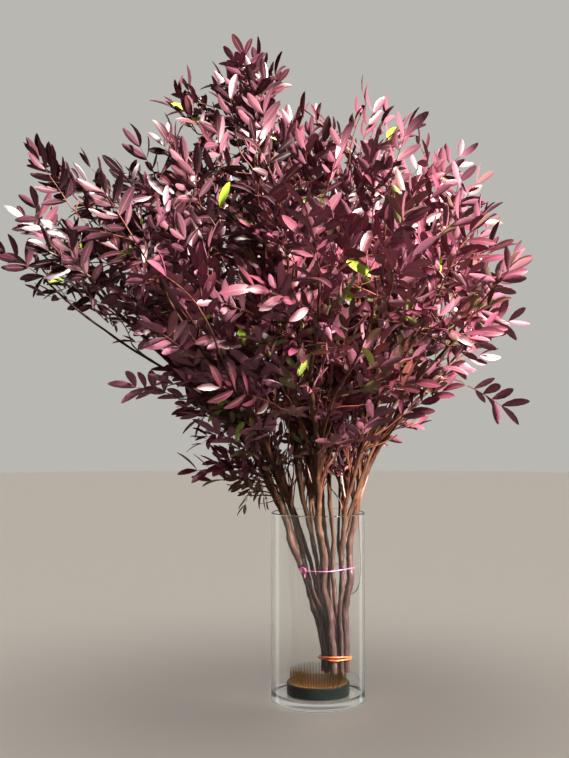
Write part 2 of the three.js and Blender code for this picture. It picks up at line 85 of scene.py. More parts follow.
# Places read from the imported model
VASE_HIGH = millimetres("vase")[1]
RING_LOW, RING_HIGH = millimetres("frog_ring")
PINS_LOW, PINS_HIGH = millimetres("frog_pins")
VASE_RADIUS = VASE_HIGH[0]
VASE_HEIGHT = VASE_HIGH[2]
MOUTH = np.array([0, 0, VASE_HEIGHT])
UP = np.array([0.0, 0.0, 1.0])

# The bundle of stems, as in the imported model
SEAT = 0.3
OUTER_RADII = [6.6, 4.4, 6.2, 4.2, 6.8, 4.6, 6.4, 4.0]
INNER_RADII = [4.1, 4.0, 4.2, 3.9]
OUTER_RING = 17.4
INNER_RING = 6.4
OUTER_RING_AT_MOUTH = 58
BUNDLE_FOOT = np.array([28, 12])
BUNDLE_MOUTH = np.array([1, 0])
BUNDLE_TURN = 12
CUT_HEIGHT = PINS_HIGH[2] - 8
BAND_HEIGHT = 67
SPREAD_HEIGHT = 78
TIE_HEIGHT = 211
BAND_TILT = 2.4
STEM_SWAY = 2.6
SWAY_OUT, SWAY_ASIDE, SWAY_TURN = 24, 19, 1.7
OPENING_POWER = 1.35
STEM_HEIGHTS = [CUT_HEIGHT, SPREAD_HEIGHT, 140, TIE_HEIGHT, 256, VASE_HEIGHT]

# The crown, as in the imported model: reach from the mouth at every 10 degrees from upright
REACH_STEP = 10
REACH_LEFT = [700, 795, 755, 730, 745, 675, 330, 200]
REACH_RIGHT = [700, 685, 655, 565, 515, 450, 330, 300]
REACH_DEPTH = [660, 660, 645, 600, 550, 470, 330, 220]
OUTER_LEANS = [38, 37, 38, 42, 45, 42, 39, 36]
INNER_LEANS = [9, 11, 10, 13]
OUTER_LEADERS = [(15, 5, 0.98), (-14, -13, 0.95)]
INNER_LEADERS = [(44, 13, 0.97), (-40, 8, 0.78)]
TWIG_COUNT = 32
TWIG_PLACES = 360
TWIG_WIDEST = 50
TWIG_LEAST_SHARE = 0.42
STEM_TAPER = 0.74
STEM_AT_MOUTH = 0.9
STEM_RISE = 0.25
LEADER_RADIUS = 3
LEADER_RISE = 0.2
TWIG_RADIUS = 2.3
TWIG_RISE = 0.3
TIP_RADIUS = 1.8
LEADER_STEPS = 4
LONG_TWIG = 220
SHORTEST_LIMB = 60
FORK_OVER_RIM = 25
TURN_COST = 3
FORK_PULL, TIP_PULL = 0.34, 0.3
KINK_SHARE, KINK_WAVES = 0.016, 9
BALL_SPACING = 7
LOW_SPRIGS = [
    ((-122, -30, 366), -0.3),
    ((-226, -60, 486), 0.5),
    ((232, -50, 500), -1.6),
    ((118, -70, 445), 0.2),
    ((-60, -175, 470), -0.2),
    ((40, 190, 480), 0.1),
    ((-170, 40, 445), 0.2),
    ((-95, 110, 420), 0),
    ((160, 50, 470), 0.2),
    ((60, -90, 405), 0.3),
]
FIRST_PAIR = 15
PAIR_SPACING = 18
RIB_WIDTH = 2.2
LEAFLET_LENGTH = 42
LEAFLET_WIDTH = 13.5
LEAFLET_ANGLE = 56
END_ANGLE = 30
SIDE_STAGGER = 3
RIB_DROOP = 420
BLADE_LIFT = 0.24
BLADE_CURL = 190
FROND_REACH = 90
FROND_ATTEMPTS = 24
BLADE_CLEARANCE = 1.2
STEM_CLEARANCE = 1.5
GOLDEN_TURN = 137.508
GOLDEN_SHARE = 0.61803398875


def scatter(index):
    """An evenly scattered share from 0 to 1."""
    return (index * GOLDEN_SHARE) % 1.0


def unit(vector):
    return vector / np.linalg.norm(vector)


# The bundle and the crown's outline


Stem = namedtuple("Stem", "azimuth ring radius lean leaders")


def all_stems():
    outer = [
        Stem(360 / len(OUTER_RADII) * i, OUTER_RING, radius, OUTER_LEANS[i], OUTER_LEADERS)
        for i, radius in enumerate(OUTER_RADII)
    ]
    inner = [
        Stem(360 / len(INNER_RADII) * (i + 0.25), INNER_RING, radius, INNER_LEANS[i], INNER_LEADERS)
        for i, radius in enumerate(INNER_RADII)
    ]
    return outer + inner


STEMS = all_stems()


def opening(z):
    """How far the bundle has opened at a height, from 0 at the band to 1 at the mouth."""
    return min(max((z - SPREAD_HEIGHT) / (VASE_HEIGHT - SPREAD_HEIGHT), 0), 1)


def outer_ring(z):
    return OUTER_RING + (OUTER_RING_AT_MOUTH - OUTER_RING) * opening(z) ** OPENING_POWER


def bundle_middle(z):
    return BUNDLE_FOOT + (BUNDLE_MOUTH - BUNDLE_FOOT) * opening(z)


def stem_in_vase(stem, z):
    """The middle of a stem at a height below the mouth."""
    open_share = opening(z)
    sway = STEM_SWAY * 4 * open_share * (1 - open_share)
    angle = math.radians(stem.azimuth - BUNDLE_TURN * (1 - open_share))
    out = outer_ring(z) * stem.ring / OUTER_RING + sway * math.sin(z / SWAY_OUT + stem.azimuth)
    aside = sway * math.cos(z / SWAY_ASIDE + SWAY_TURN * stem.azimuth)
    middle = bundle_middle(z)
    x = middle[0] + out * math.cos(angle) - aside * math.sin(angle)
    y = middle[1] + out * math.sin(angle) + aside * math.cos(angle)
    return np.array([x, y, z])


def direction(polar, azimuth):
    away = math.sin(math.radians(polar))
    turn = math.radians(azimuth)
    return np.array([away * math.cos(turn), away * math.sin(turn), math.cos(math.radians(polar))])


def along_table(table, polar):
    place = min(polar / REACH_STEP, len(table) - 1.001)
    low = int(place)
    return table[low] + (table[low + 1] - table[low]) * (place - low)


def crown_point(polar, azimuth, share):
    """A limb's tip: a share of the crown's reach in a direction, less the frond at the tip."""
    side = math.cos(math.radians(azimuth))
    sideways = along_table(REACH_LEFT if side < 0 else REACH_RIGHT, polar)
    reach = sideways * side**2 + along_table(REACH_DEPTH, polar) * (1 - side**2)
    return MOUTH + direction(polar, azimuth) * (reach - FROND_REACH) * share


# Limbs: stems, leaders and twigs


class Limb:
    """A coarse line that later limbs fork from, and the smooth line that is drawn."""

    def __init__(self, branch, points, radii, sides, smooth, smooth_radii):
        self.branch = branch
        self.points = points
        self.radii = radii
        self.sides = sides
        self.smooth = smooth
        self.smooth_radii = smooth_radii

    def at(self, place):
        """The point, heading and radius at a number of steps along the coarse line."""
        i = min(int(place), len(self.points) - 2)
        share = place - i
        start, end = self.points[i], self.points[i + 1]
        radius = self.radii[i] + (self.radii[i + 1] - self.radii[i]) * share
        return start + (end - start) * share, unit(end - start), radius


def limb_line(start, heading, tip, rise, steps, phase):
    """A slightly kinked curve that leaves along a heading and turns up by a rise at its tip."""
    span = np.linalg.norm(tip - start)
    outward = unit(tip - MOUTH)
    ending = unit(outward + UP * rise)
    first = start + heading * span * FORK_PULL
    second = tip - ending * span * TIP_PULL
    kink = unit(np.cross(heading, outward)) * KINK_SHARE * span
    t = np.linspace(0, 1, steps + 1)[:, None]
    curve = (1 - t) ** 3 * start + 3 * (1 - t) ** 2 * t * first + 3 * (1 - t) * t**2 * second + t**3 * tip
    return curve + kink * np.sin(math.pi * t) * np.sin(KINK_WAVES * t + phase)


def balls_along(points, radii):
    """Balls along a line that stand in for it where gaps are measured: x, y, z and radius."""
    rows = []
    for i in range(len(points) - 1):
        count = math.ceil(np.linalg.norm(points[i + 1] - points[i]) / BALL_SPACING)
        share = np.arange(count)[:, None] / count
        place = points[i] + (points[i + 1] - points[i]) * share
        rows.append(np.hstack([place, radii[i] + (radii[i + 1] - radii[i]) * share]))
    rows.append([[*points[-1], radii[-1]]])
    return np.vstack(rows)


def gap_between(balls, others):
    apart = np.linalg.norm(balls[:, None, :3] - others[None, :, :3], axis=2)
    return (apart - balls[:, None, 3] - others[None, :, 3]).min()


class Crown:
    """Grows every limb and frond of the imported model, then the finer ones between them."""

    def __init__(self):
        self.limbs = []
        self.taken = [np.empty((0, 4)) for _ in STEMS]
        self.fronds = []

    def take(self, branch, balls):
        self.taken[branch] = np.vstack([self.taken[branch], balls])

    def others_of(self, branch):
        return np.vstack([balls for i, balls in enumerate(self.taken) if i != branch])

    def grow_stem(self, stem, branch):
        heading = unit(stem_in_vase(stem, STEM_HEIGHTS[-1]) - stem_in_vase(stem, STEM_HEIGHTS[-2]))
        tip = crown_point(stem.lean, stem.azimuth, 1)
        mouth, end = stem.radius * STEM_AT_MOUTH, stem.radius * (1 - STEM_TAPER)

        def drawn(heights, steps):
            inside = np.array([stem_in_vase(stem, z) for z in heights])
            outside = limb_line(inside[-1], heading, tip, STEM_RISE, steps, branch)[1:]
            lower = np.linspace(stem.radius, mouth, len(heights))
            upper = np.linspace(mouth, end, steps + 1)[1:]
            return np.vstack([inside, outside]), np.concatenate([lower, upper])

        points, radii = drawn(STEM_HEIGHTS, 7)
        smooth, smooth_radii = drawn(np.linspace(CUT_HEIGHT, VASE_HEIGHT, 22), 28)
        self.limbs.append(Limb(branch, points, radii, 5, smooth, smooth_radii))

    def grow_side(self, parent, place, tip, rise, phase, thickest, share=0.8, steps=6, sides=3):
        """A limb from a place on its parent to a tip, no thicker than a share of the parent there.
        Its smooth line starts on the parent's smooth line."""
        start, heading, radius = parent.at(place)
        radius = min(thickest, radius * share)
        points = limb_line(start, heading, tip, rise, steps, phase)
        smooth = limb_line(start, heading, tip, rise, SMOOTH_STEPS, phase)
        offset = parent.smooth[np.linalg.norm(parent.smooth - start, axis=1).argmin()] - start
        offset = offset if np.linalg.norm(offset) < FARTHEST_START else offset * 0
        ease = (1 - np.linspace(0, 1, len(smooth))[:, None]) ** 3
        radii, smooth_radii = (np.linspace(radius, TIP_RADIUS, len(line)) for line in (points, smooth))
        return Limb(parent.branch, points, radii, sides, smooth + offset * ease, smooth_radii)

    def best_fork(self, tip):
        """The limb and the place on it with the shortest and straightest way to a tip, and its cost."""
        best = None
        for limb in self.limbs:
            places = np.arange(0.5, len(limb.points) - 1.4, 0.25)
            if not len(places):
                continue
            index = places.astype(int)
            starts = limb.points[index]
            steps = limb.points[index + 1] - starts
            forks = starts + steps * (places - index)[:, None]
            headings = steps / np.linalg.norm(steps, axis=1)[:, None]
            way = tip - forks
            span = np.linalg.norm(way, axis=1)
            turn = 1 - (way * headings).sum(1) / span
            cost = span * (1 + TURN_COST * turn**2)
            cost[(forks[:, 2] < VASE_HEIGHT + FORK_OVER_RIM) | (span <= SHORTEST_LIMB)] = np.inf
            least = cost.argmin()
            if cost[least] < (best[2] if best else np.inf):
                best = (limb, places[least], cost[least])
        return best

    def grow_twig(self, tip, rise, phase):
        """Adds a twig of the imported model, and says whether it keeps clear of other branches."""
        parent, place, cost = self.best_fork(tip)
        steps = 4 if cost > LONG_TWIG else 3
        limb = self.grow_side(parent, place, tip, rise, phase, TWIG_RADIUS, 0.85, steps)
        balls = balls_along(limb.points, limb.radii)
        if gap_between(balls, self.others_of(limb.branch)) < STEM_CLEARANCE:
            return False
        self.limbs.append(limb)
        self.take(limb.branch, balls)
        return True

    def grow_twigs(self):
        """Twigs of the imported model, each grown into the place that is emptiest before it."""
        cap = 1 - math.cos(math.radians(TWIG_WIDEST))
        places = []
        for i in range(TWIG_PLACES):
            polar = math.degrees(math.acos(1 - cap * (i + 0.5) / TWIG_PLACES))
            share = TWIG_LEAST_SHARE + (1 - TWIG_LEAST_SHARE) * math.sqrt(scatter(i))
            places.append(crown_point(polar, i * GOLDEN_TURN, share))
        grown = 0
        while grown < TWIG_COUNT:
            tips = np.array([limb.points[-1] for limb in self.limbs])
            empty = np.linalg.norm(np.array(places)[:, None] - tips[None], axis=2).min(1)
            if self.grow_twig(places.pop(int(empty.argmax())), TWIG_RISE, grown):
                grown += 1

    def grow_frame(self):
        """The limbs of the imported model."""
        for branch, stem in enumerate(STEMS):
            self.grow_stem(stem, branch)
            main = self.limbs[-1]
            for order, (turn, lean, share) in enumerate(stem.leaders):
                place = 5.7 + 1.1 * order + 0.5 * scatter(branch + 3)
                tip = crown_point(stem.lean + lean, stem.azimuth + turn, share)
                leader = (LEADER_RISE, branch + 2 * order + 1, LEADER_RADIUS, 0.8, LEADER_STEPS, 4)
                self.limbs.append(self.grow_side(main, place, tip, *leader))
        for limb in self.limbs:
            self.take(limb.branch, balls_along(limb.points, limb.radii))
        for i, (tip, rise) in enumerate(LOW_SPRIGS):
            self.grow_twig(np.array(tip, float), rise, i)
        self.grow_twigs()

    def grow_frame_fronds(self):
        """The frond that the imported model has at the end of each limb."""
        for index, limb in enumerate(self.limbs):
            for attempt in range(FROND_ATTEMPTS):
                pairs = 4 if attempt < 14 and index % 3 == 1 else 3
                turn = 25 + 45 * scatter(index + 0.37) + 29 * attempt
                pitch = 10 * scatter(index + 0.11) - 4 * (attempt % 5)
                place = tip_frame(limb.points, turn if index % 2 else -turn, pitch)
                balls = frond_balls(pairs)
                balls[:, :3] = balls[:, :3] @ place[:3, :3].T + place[:3, 3]
                if gap_between(balls, self.others_of(limb.branch)) < BLADE_CLEARANCE:
                    continue
                self.fronds.append((limb.branch, place, 1.0))
                self.take(limb.branch, balls)
                break


def tip_frame(points, roll, pitch):
    """A frond's place at a limb's tip: X along the limb, Z out of its upper face."""
    tip = points[-1]
    along = unit(tip - points[-2])
    face = unit(tip - MOUTH) + UP
    face = unit(face - face @ along * along)
    face = turned(face, along, roll)
    beside = np.cross(face, along)
    along = turned(along, beside, pitch)
    face = turned(face, beside, pitch)
    return placed(along, beside, face, tip)


def turned(vector, axis, degrees):
    return np.array(Matrix.Rotation(math.radians(degrees), 3, Vector(axis)) @ Vector(vector))


def placed(along, beside, face, origin):
    place = np.eye(4)
    place[:3, 0], place[:3, 1], place[:3, 2], place[:3, 3] = along, beside, face, origin
    return place


def leaflets_of(pairs):
    """Where each leaflet leaves the rib, its side, angle and length."""
    leaflets = []
    for pair in range(pairs):
        last = pair == pairs - 1
        for side in (1, -1):
            stagger = 0 if side > 0 or last else SIDE_STAGGER
            angle = END_ANGLE if last else LEAFLET_ANGLE - 3 * pair
            length = LEAFLET_LENGTH * (0.86 if pair == 0 else 1)
            leaflets.append((FIRST_PAIR + PAIR_SPACING * pair - stagger, side, angle, length))
    return leaflets


def frond_height(x, y):
    return -(x**2) / RIB_DROOP + BLADE_LIFT * abs(y) - y**2 / BLADE_CURL


def frond_balls(pairs):
    """Balls that stand in for a frond's rib and blades where gaps are measured."""
    rows = []
    for x in range(6, FIRST_PAIR + PAIR_SPACING * (pairs - 1), 6):
        rows.append((x, 0, frond_height(x, 0), 1.6))
    for place, side, angle, length in leaflets_of(pairs):
        for share, radius in ((0.25, 4), (0.5, 6.3), (0.72, 5.6), (0.95, 2.4)):
            x = place + share * length * math.cos(math.radians(angle))
            y = side * (RIB_WIDTH / 2 + share * length * math.sin(math.radians(angle)))
            rows.append((x, y, frond_height(x, y), radius))
    return np.array(rows, float)


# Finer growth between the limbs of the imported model

FINE_TWIGS = 270
FINE_WIDEST = 52
FINE_RADIUS = 1.7
FINE_TIP_RADIUS = 0.9
SMOOTH_STEPS = 12
FARTHEST_START = 6
SHOOT_LENGTH = 125
SHOOT_SHARE = 0.6
FIRST_FROND = 9
MOUTH_TWIGS = 230
BOUGH_EVERY = 6
BOUGH_RADIUS = 3.4
VASE_BOUGHS = 9
VASE_BOUGH_RADIUS = 4.7
VASE_BOUGH_TURN = 34
INSIDE_GLASS = 65
LOW_TWIGS = 12
LOW_TWIG_STEMS = (3, 4, 5)
TOP_TWIGS = 14

# The bare twig beside the rightmost stem, in the vase
SIDE_TWIG = [
    (48, 3, 168),
    (60, 1, 172),
    (66, -1, 184),
    (68, -2, 204),
    (67, -2, 240),
    (66, -1, 275),
    (62, -1, 330),
]
SIDE_TWIG_RADIUS = 1.1

# The share of fronds kept at each distance from the mouth, and left of the side given
LEAFLESS_REACH = [130, 210, 300, 430]
LEAVES_KEPT = [0.12, 0.22, 0.6, 1]
LOW_CLUSTER_SIDE = -75
LOW_CLUSTER_KEPT = 0.6

# The crown's straight lower sides: how far from the axis its leaves stand at each height
SIDE_HEIGHTS = [300, 350, 500, 600, 640, 700, 740, 860, 1000]
SIDE_LEFT = [95, 165, 215, 290, 400, 480, 520, 520, 520]
SIDE_RIGHT = [70, 100, 210, 285, 330, 360, 285, 262, 400]
SIDE_DEPTH = [70, 100, 200, 270, 320, 360, 400, 400, 400]


def within_sides(point):
    away = math.hypot(point[0], point[1])
    side = point[0] / away
    sideways = np.interp(point[2], SIDE_HEIGHTS, SIDE_LEFT if side < 0 else SIDE_RIGHT)
    return away < sideways * side**2 + np.interp(point[2], SIDE_HEIGHTS, SIDE_DEPTH) * (1 - side**2)


def add_fine_twigs(crown, count):
    """Twigs that fill the crown evenly from its middle out, each from the nearest limb below it."""
    cap = 1 - math.cos(math.radians(FINE_WIDEST))
    for i in range(count):
        polar = math.degrees(math.acos(1 - cap * (i + 0.5) / count))
        share = 0.4 + 0.6 * scatter(i * 1.7 + 0.3) ** 0.75
        tip = crown_point(polar, 40 + i * GOLDEN_TURN, share)
        if within_sides(tip):
            parent, place, _ = crown.best_fork(tip)
            crown.limbs.append(crown.grow_side(parent, place, tip, 0.3, i, FINE_RADIUS))


def main_stems(crown):
    """The stems' own limbs, which stand in the crown's list before their two leaders each."""
    return crown.limbs[:: 1 + len(OUTER_LEADERS)][: len(STEMS)]


def add_vase_boughs(crown):
    """Boughs that fork from the stems inside the vase and rise beside them through the mouth."""
    for i in range(VASE_BOUGHS):
        parent = main_stems(crown)[(3 * i + 4) % len(STEMS)]
        stem = STEMS[parent.branch]
        place = 1.5 + 2.1 * scatter(i + 0.2)
        azimuth = stem.azimuth + (VASE_BOUGH_TURN if i % 2 else -VASE_BOUGH_TURN)
        tip = crown_point(stem.lean * 0.8 + 4, azimuth, 0.5 + 0.3 * scatter(i))
        bough = crown.grow_side(parent, place, tip, 0.3, i, VASE_BOUGH_RADIUS, sides=4)
        bough.smooth = inside_glass(bough.smooth)
        crown.limbs.append(bough)


def inside_glass(line):
    """A line with its points in the vase drawn in clear of the wall."""
    away = np.hypot(line[:, 0], line[:, 1])
    drawn_in = np.where(line[:, 2] < VASE_HEIGHT + 6, np.minimum(1, INSIDE_GLASS / np.maximum(away, 1)), 1)
    return line * np.stack([drawn_in, drawn_in, np.ones(len(line))], axis=1)


def add_low_twigs(crown):
    """Leafy twigs that lean out over the rim on the left, just above it."""
    for i in range(LOW_TWIGS):
        parent = main_stems(crown)[LOW_TWIG_STEMS[i % len(LOW_TWIG_STEMS)]]
        x, y = -85 - 75 * scatter(i + 0.1), 130 * (scatter(i * 1.3) - 0.5)
        tip = np.array([x, y, 318 + 80 * scatter(i * 2.1)])
        place = 5.02 + 0.5 * scatter(i)
        crown.limbs.append(crown.grow_side(parent, place, tip, -0.1, i, FINE_RADIUS))


def add_top_twigs(crown):
    """Twigs that make the crown's highest tuft, left of the middle, all of them equally thick."""
    for i in range(TOP_TWIGS):
        azimuth = 180 + 80 * (scatter(i) - 0.5)
        tip = crown_point(3 + 14 * scatter(i * 1.9 + 0.4), azimuth, 0.86 + 0.14 * scatter(i + 0.6))
        parent, place, _ = crown.best_fork(tip)
        crown.limbs.append(crown.grow_side(parent, place, tip, 0.3, i, FINE_RADIUS, math.inf))


def add_side_twig(crown):
    """The bare twig that bows out of the rightmost stem and rises against the glass."""
    line = np.array(SIDE_TWIG, float)
    for _ in range(2):
        cut = np.stack([0.75 * line[:-1] + 0.25 * line[1:], 0.25 * line[:-1] + 0.75 * line[1:]], axis=1)
        line = np.vstack([line[:1], cut.reshape(-1, 3), line[-1:]])
    radii = np.full(len(line), SIDE_TWIG_RADIUS)
    crown.limbs.append(Limb(0, line, radii, 4, line, radii))


def add_mouth_twigs(crown):
    """Thin twigs, and now and then a bough, that leave the stems just above the mouth and fan out
    straight between them."""
    stems = main_stems(crown)
    for i in range(MOUTH_TWIGS):
        parent = stems[i % len(stems)]
        stem = STEMS[parent.branch]
        polar = stem.lean * (0.35 + 0.75 * scatter(i * 3.1 + 0.2)) + 3
        turn = 60 * (scatter(i * 2.3) - 0.5)
        tip = crown_point(polar, stem.azimuth + turn, 0.16 + 0.5 * scatter(i + 0.4))
        if within_sides(tip):
            place = 4.4 + 2.0 * scatter(i + 0.7)
            thickest = BOUGH_RADIUS if i % BOUGH_EVERY == 0 else FINE_RADIUS
            twig = crown.grow_side(parent, place, tip, 0.1, i, thickest, 0.7)
            twig.smooth = inside_glass(twig.smooth)
            crown.limbs.append(twig)


def distances_along(line):
    """How far each point of a line is from its start."""
    return np.concatenate([[0], np.cumsum(np.linalg.norm(np.diff(line, axis=0), axis=1))])


def add_shoot_leaves(crown, spacing, rng):
    """Fronds in a rising spiral along the last stretch of every limb, smaller near the mouth."""
    for index, limb in enumerate(crown.limbs):
        along_limb = distances_along(limb.smooth)
        total = along_limb[-1]
        if index >= crown.frame_limbs:
            frond = tip_frame(limb.smooth, rng.uniform(-80, 80), rng.uniform(-5, 15))
            crown.fronds.append((limb.branch, frond, rng.uniform(0.9, 1.1)))
        for k in range(int(min(SHOOT_LENGTH, total * SHOOT_SHARE) / spacing)):
            away = FIRST_FROND + spacing * k + rng.uniform(-4, 4)
            share = np.interp(total - away, along_limb, np.arange(len(along_limb)))
            i = min(int(share), len(limb.smooth) - 2)
            origin = limb.smooth[i] + (limb.smooth[i + 1] - limb.smooth[i]) * (share - i)
            axis = unit(limb.smooth[i + 1] - limb.smooth[i])
            side = unit(np.cross(axis, UP + 0.01))
            side = turned(side, axis, GOLDEN_TURN * k + 77 * index)
            tilt = math.radians(rng.uniform(34, 60))
            along = axis * math.cos(tilt) + side * math.sin(tilt)
            face = axis * math.sin(tilt) - side * math.cos(tilt)
            face = turned(face, along, rng.uniform(-35, 35))
            size = rng.uniform(0.82, 1.08) * np.interp(origin[2], [320, 520], [0.62, 1])
            crown.fronds.append((limb.branch, placed(along, np.cross(face, along), face, origin), size))


def grown_crown(settings):
    rng = np.random.default_rng(7)
    crown = Crown()
    crown.grow_frame()
    crown.frame_limbs = len(crown.limbs)
    crown.grow_frame_fronds()
    frame_fronds = crown.fronds
    crown.fronds = []
    add_vase_boughs(crown)
    add_low_twigs(crown)
    add_top_twigs(crown)
    add_fine_twigs(crown, settings.fine_twigs)
    add_mouth_twigs(crown)
    add_shoot_leaves(crown, settings.shoot_spacing / MM, rng)
    crown.fronds = frame_fronds + [frond for frond in crown.fronds if kept_from_shade(frond, rng)]
    add_side_twig(crown)
    return crown


def kept_from_shade(frond, rng):
    """Shoots near the mouth have lost most of their leaves, and none hang below the crown's sides."""
    _, place, size = frond
    origin = place[:3, 3]
    middle = origin + place[:3, 0] * LEAFLET_LENGTH * size
    away = np.linalg.norm(origin - MOUTH)
    least = LOW_CLUSTER_KEPT if origin[0] < LOW_CLUSTER_SIDE else 0
    return within_sides(middle) and rng.random() < max(np.interp(away, LEAFLESS_REACH, LEAVES_KEPT), least)


# Materials


def linear(hex_colour):
    """A linear colour from an sRGB hex value such as 0x5A2636."""
    shares = [((hex_colour >> shift) & 255) / 255 for shift in (16, 8, 0)]
    return [*(s / 12.92 if s <= 0.04045 else ((s + 0.055) / 1.055) ** 2.4 for s in shares), 1.0]


def add_node(tree, kind, inputs=None, settings=None, stops=()):
    """One shader node with its settings. Its inputs are values, sockets or nodes to link from, and
    a colour ramp's stops are pairs of a place and a hex colour."""
    node = tree.nodes.new("ShaderNode" + kind)
    for name, value in (settings or {}).items():
        setattr(node, name, value)
    for name, value in (inputs or {}).items():
        if isinstance(value, bpy.types.Node):
            value = next(socket for socket in value.outputs if socket.enabled)
        if isinstance(value, bpy.types.NodeSocket):
            tree.links.new(value, node.inputs[name])
        else:
            node.inputs[name].default_value = value
    for _ in stops[2:]:
        node.color_ramp.elements.new(0.5)
    for i, (place, colour) in enumerate(stops):
        element = node.color_ramp.elements[i]
        element.position = place
        element.color = linear(colour)
    return node


def new_material(name):
    """An empty material and its node tree."""
    material = bpy.data.materials.new(name)
    material.use_nodes = True
    material.node_tree.nodes.clear()
    return material, material.node_tree


def add_surface(tree, inputs):
    """The Principled surface that ends a material."""
    surface = add_node(tree, "BsdfPrincipled", inputs)
    add_node(tree, "OutputMaterial", {"Surface": surface})


# Materials with one even finish
PLAIN_MATERIALS = {
    # Pressed soda-lime glass: clear and smooth, so only its edges and what it mirrors show
    "soda_lime_glass": {"Base Color": 0xFEFFFE, "Roughness": 0.0, "IOR": 1.5, "Transmission Weight": 1.0},
    # Moulded rubber ring: green-black and matte
    "moulded_rubber": {"Base Color": 0x050908, "Roughness": 0.42, "Specular IOR Level": 0.05},
    # Drawn brass pins and plate: aged golden brown, with a narrow shine
    "aged_brass": {"Base Color": 0x64491F, "Metallic": 1.0, "Roughness": 0.3},
    # Brass plate darkened by water: nearly black between the pins
    "blackened_brass": {"Base Color": 0x120D08, "Metallic": 1.0, "Roughness": 0.5},
    # Cast lead weight: dull grey
    "cast_lead": {"Base Color": 0x5F6163, "Metallic": 1.0, "Roughness": 0.6},
    # Extruded natural rubber: orange, satin and slightly waxy
    "orange_rubber_band": {"Base Color": 0xB44E1A, "Roughness": 0.35},
    # Thin nylon string: pink, with a soft shine
    "pink_nylon_string": {"Base Color": 0xCC66A2, "Roughness": 0.4},
}


def plain_material(name):
    material, tree = new_material(name)
    inputs = PLAIN_MATERIALS[name]
    add_surface(tree, {**inputs, "Base Color": linear(inputs["Base Color"])})
    return material


# Leaf colours from the darkest tint to the green ones, above and below. The dark and rosy tints
# also serve as painted shade on the crown's left and painted light on its right.
LEAF_ABOVE = [
    (0.0, 0x180A0E),
    (0.3, 0x3C1A23),
    (0.55, 0x5C2834),
    (0.75, 0x7E3A52),
    (0.86, 0x5E3028),
    (0.955, 0x5C4630),
    (0.975, 0x6E9430),
    (1.0, 0xA8CE3C),
]
LEAF_BELOW = [
    (0.0, 0x4E2E38),
    (0.5, 0x7E4A5A),
    (0.8, 0x965E72),
    (0.93, 0x7A6050),
    (0.975, 0x7E9C48),
    (1.0, 0xA4C050),
]
LEAF_SKIN = {"Roughness": 0.42, "Specular IOR Level": 0.65}
LEAF_LIGHT_THROUGH = 0.15


def preserved_leaf():
    """Glycerin-preserved leaf, dyed dark red: a waxy, slightly shiny skin over plum, with a paler
    midrib and a mauve underside, that lets a little red light through. The tint attribute gives
    each leaflet its own colour, with painted shade on the crown's left and painted light on its
    right, and the highest tints are leaves that stayed green."""
    material, tree = new_material("glycerin_preserved_leaf")
    tint = add_node(tree, "Attribute", settings={"attribute_name": "leaf_tint"}).outputs["Fac"]
    under = add_node(tree, "Attribute", settings={"attribute_name": "leaf_underside"}).outputs["Fac"]
    above, below = (add_node(tree, "ValToRGB", {"Fac": tint}, stops=s) for s in (LEAF_ABOVE, LEAF_BELOW))
    face = add_node(tree, "Mix", {"Factor": under, "A": above, "B": below}, {"data_type": "RGBA"})
    place = add_node(tree, "UVMap", settings={"uv_map": "leaf_place"})
    across = add_node(tree, "SeparateXYZ", {"Vector": place}).outputs["Y"]
    off_middle = add_node(tree, "Math", {"Value": across}, {"operation": "ABSOLUTE"})
    midrib_width = {"From Min": 0.04, "From Max": 0.14, "To Min": 0.45, "To Max": 0.0}
    midrib = add_node(tree, "MapRange", {"Value": off_middle, **midrib_width})
    ribbed = {"Factor": midrib, "A": face, "B": linear(0xB4707E)}
    colour = add_node(tree, "Mix", ribbed, {"data_type": "RGBA"})
    skin = add_node(tree, "BsdfPrincipled", {"Base Color": colour, **LEAF_SKIN})
    through = add_node(tree, "BsdfTranslucent", {"Color": linear(0xA84456)})
    both = add_node(tree, "MixShader", {"Fac": LEAF_LIGHT_THROUGH, 1: skin, 2: through})
    add_node(tree, "OutputMaterial", {"Surface": both})
    return material


def young_twig():
    """First-year shoots and leaf ribs, dyed with the leaves: smooth, thin and red-brown, with
    mottling 20 mm across."""
    material, tree = new_material("dyed_young_twig")
    place = add_node(tree, "TexCoord").outputs["Object"]
    mottle = add_node(tree, "TexNoise", {"Scale": 1 / 0.02, "Detail": 3.0, "Vector": place})
    colour = add_node(tree, "ValToRGB", {"Fac": mottle}, stops=[(0.35, 0x4A231D), (0.65, 0x74422E)])
    add_surface(tree, {"Base Color": colour, "Roughness": 0.5})
    return material


# Bark colours from 100 mm up to 700 mm, of the reddest and of the most tan stems
BARK_RED = [(0.0, 0x321D1E), (0.2, 0x392324), (0.36, 0x4A2A21), (1.0, 0x44201B)]
BARK_TAN = [(0.0, 0x362525), (0.18, 0x42302B), (0.36, 0x5A4430), (1.0, 0x4C2E22)]
# Painted shade and light along the ridges: the colour is multiplied darker in the grooves and lighter on
# top.
RIDGE_SHADE = {"From Min": 0.35, "From Max": 0.6, "To Min": 0.45, "To Max": 1.15}


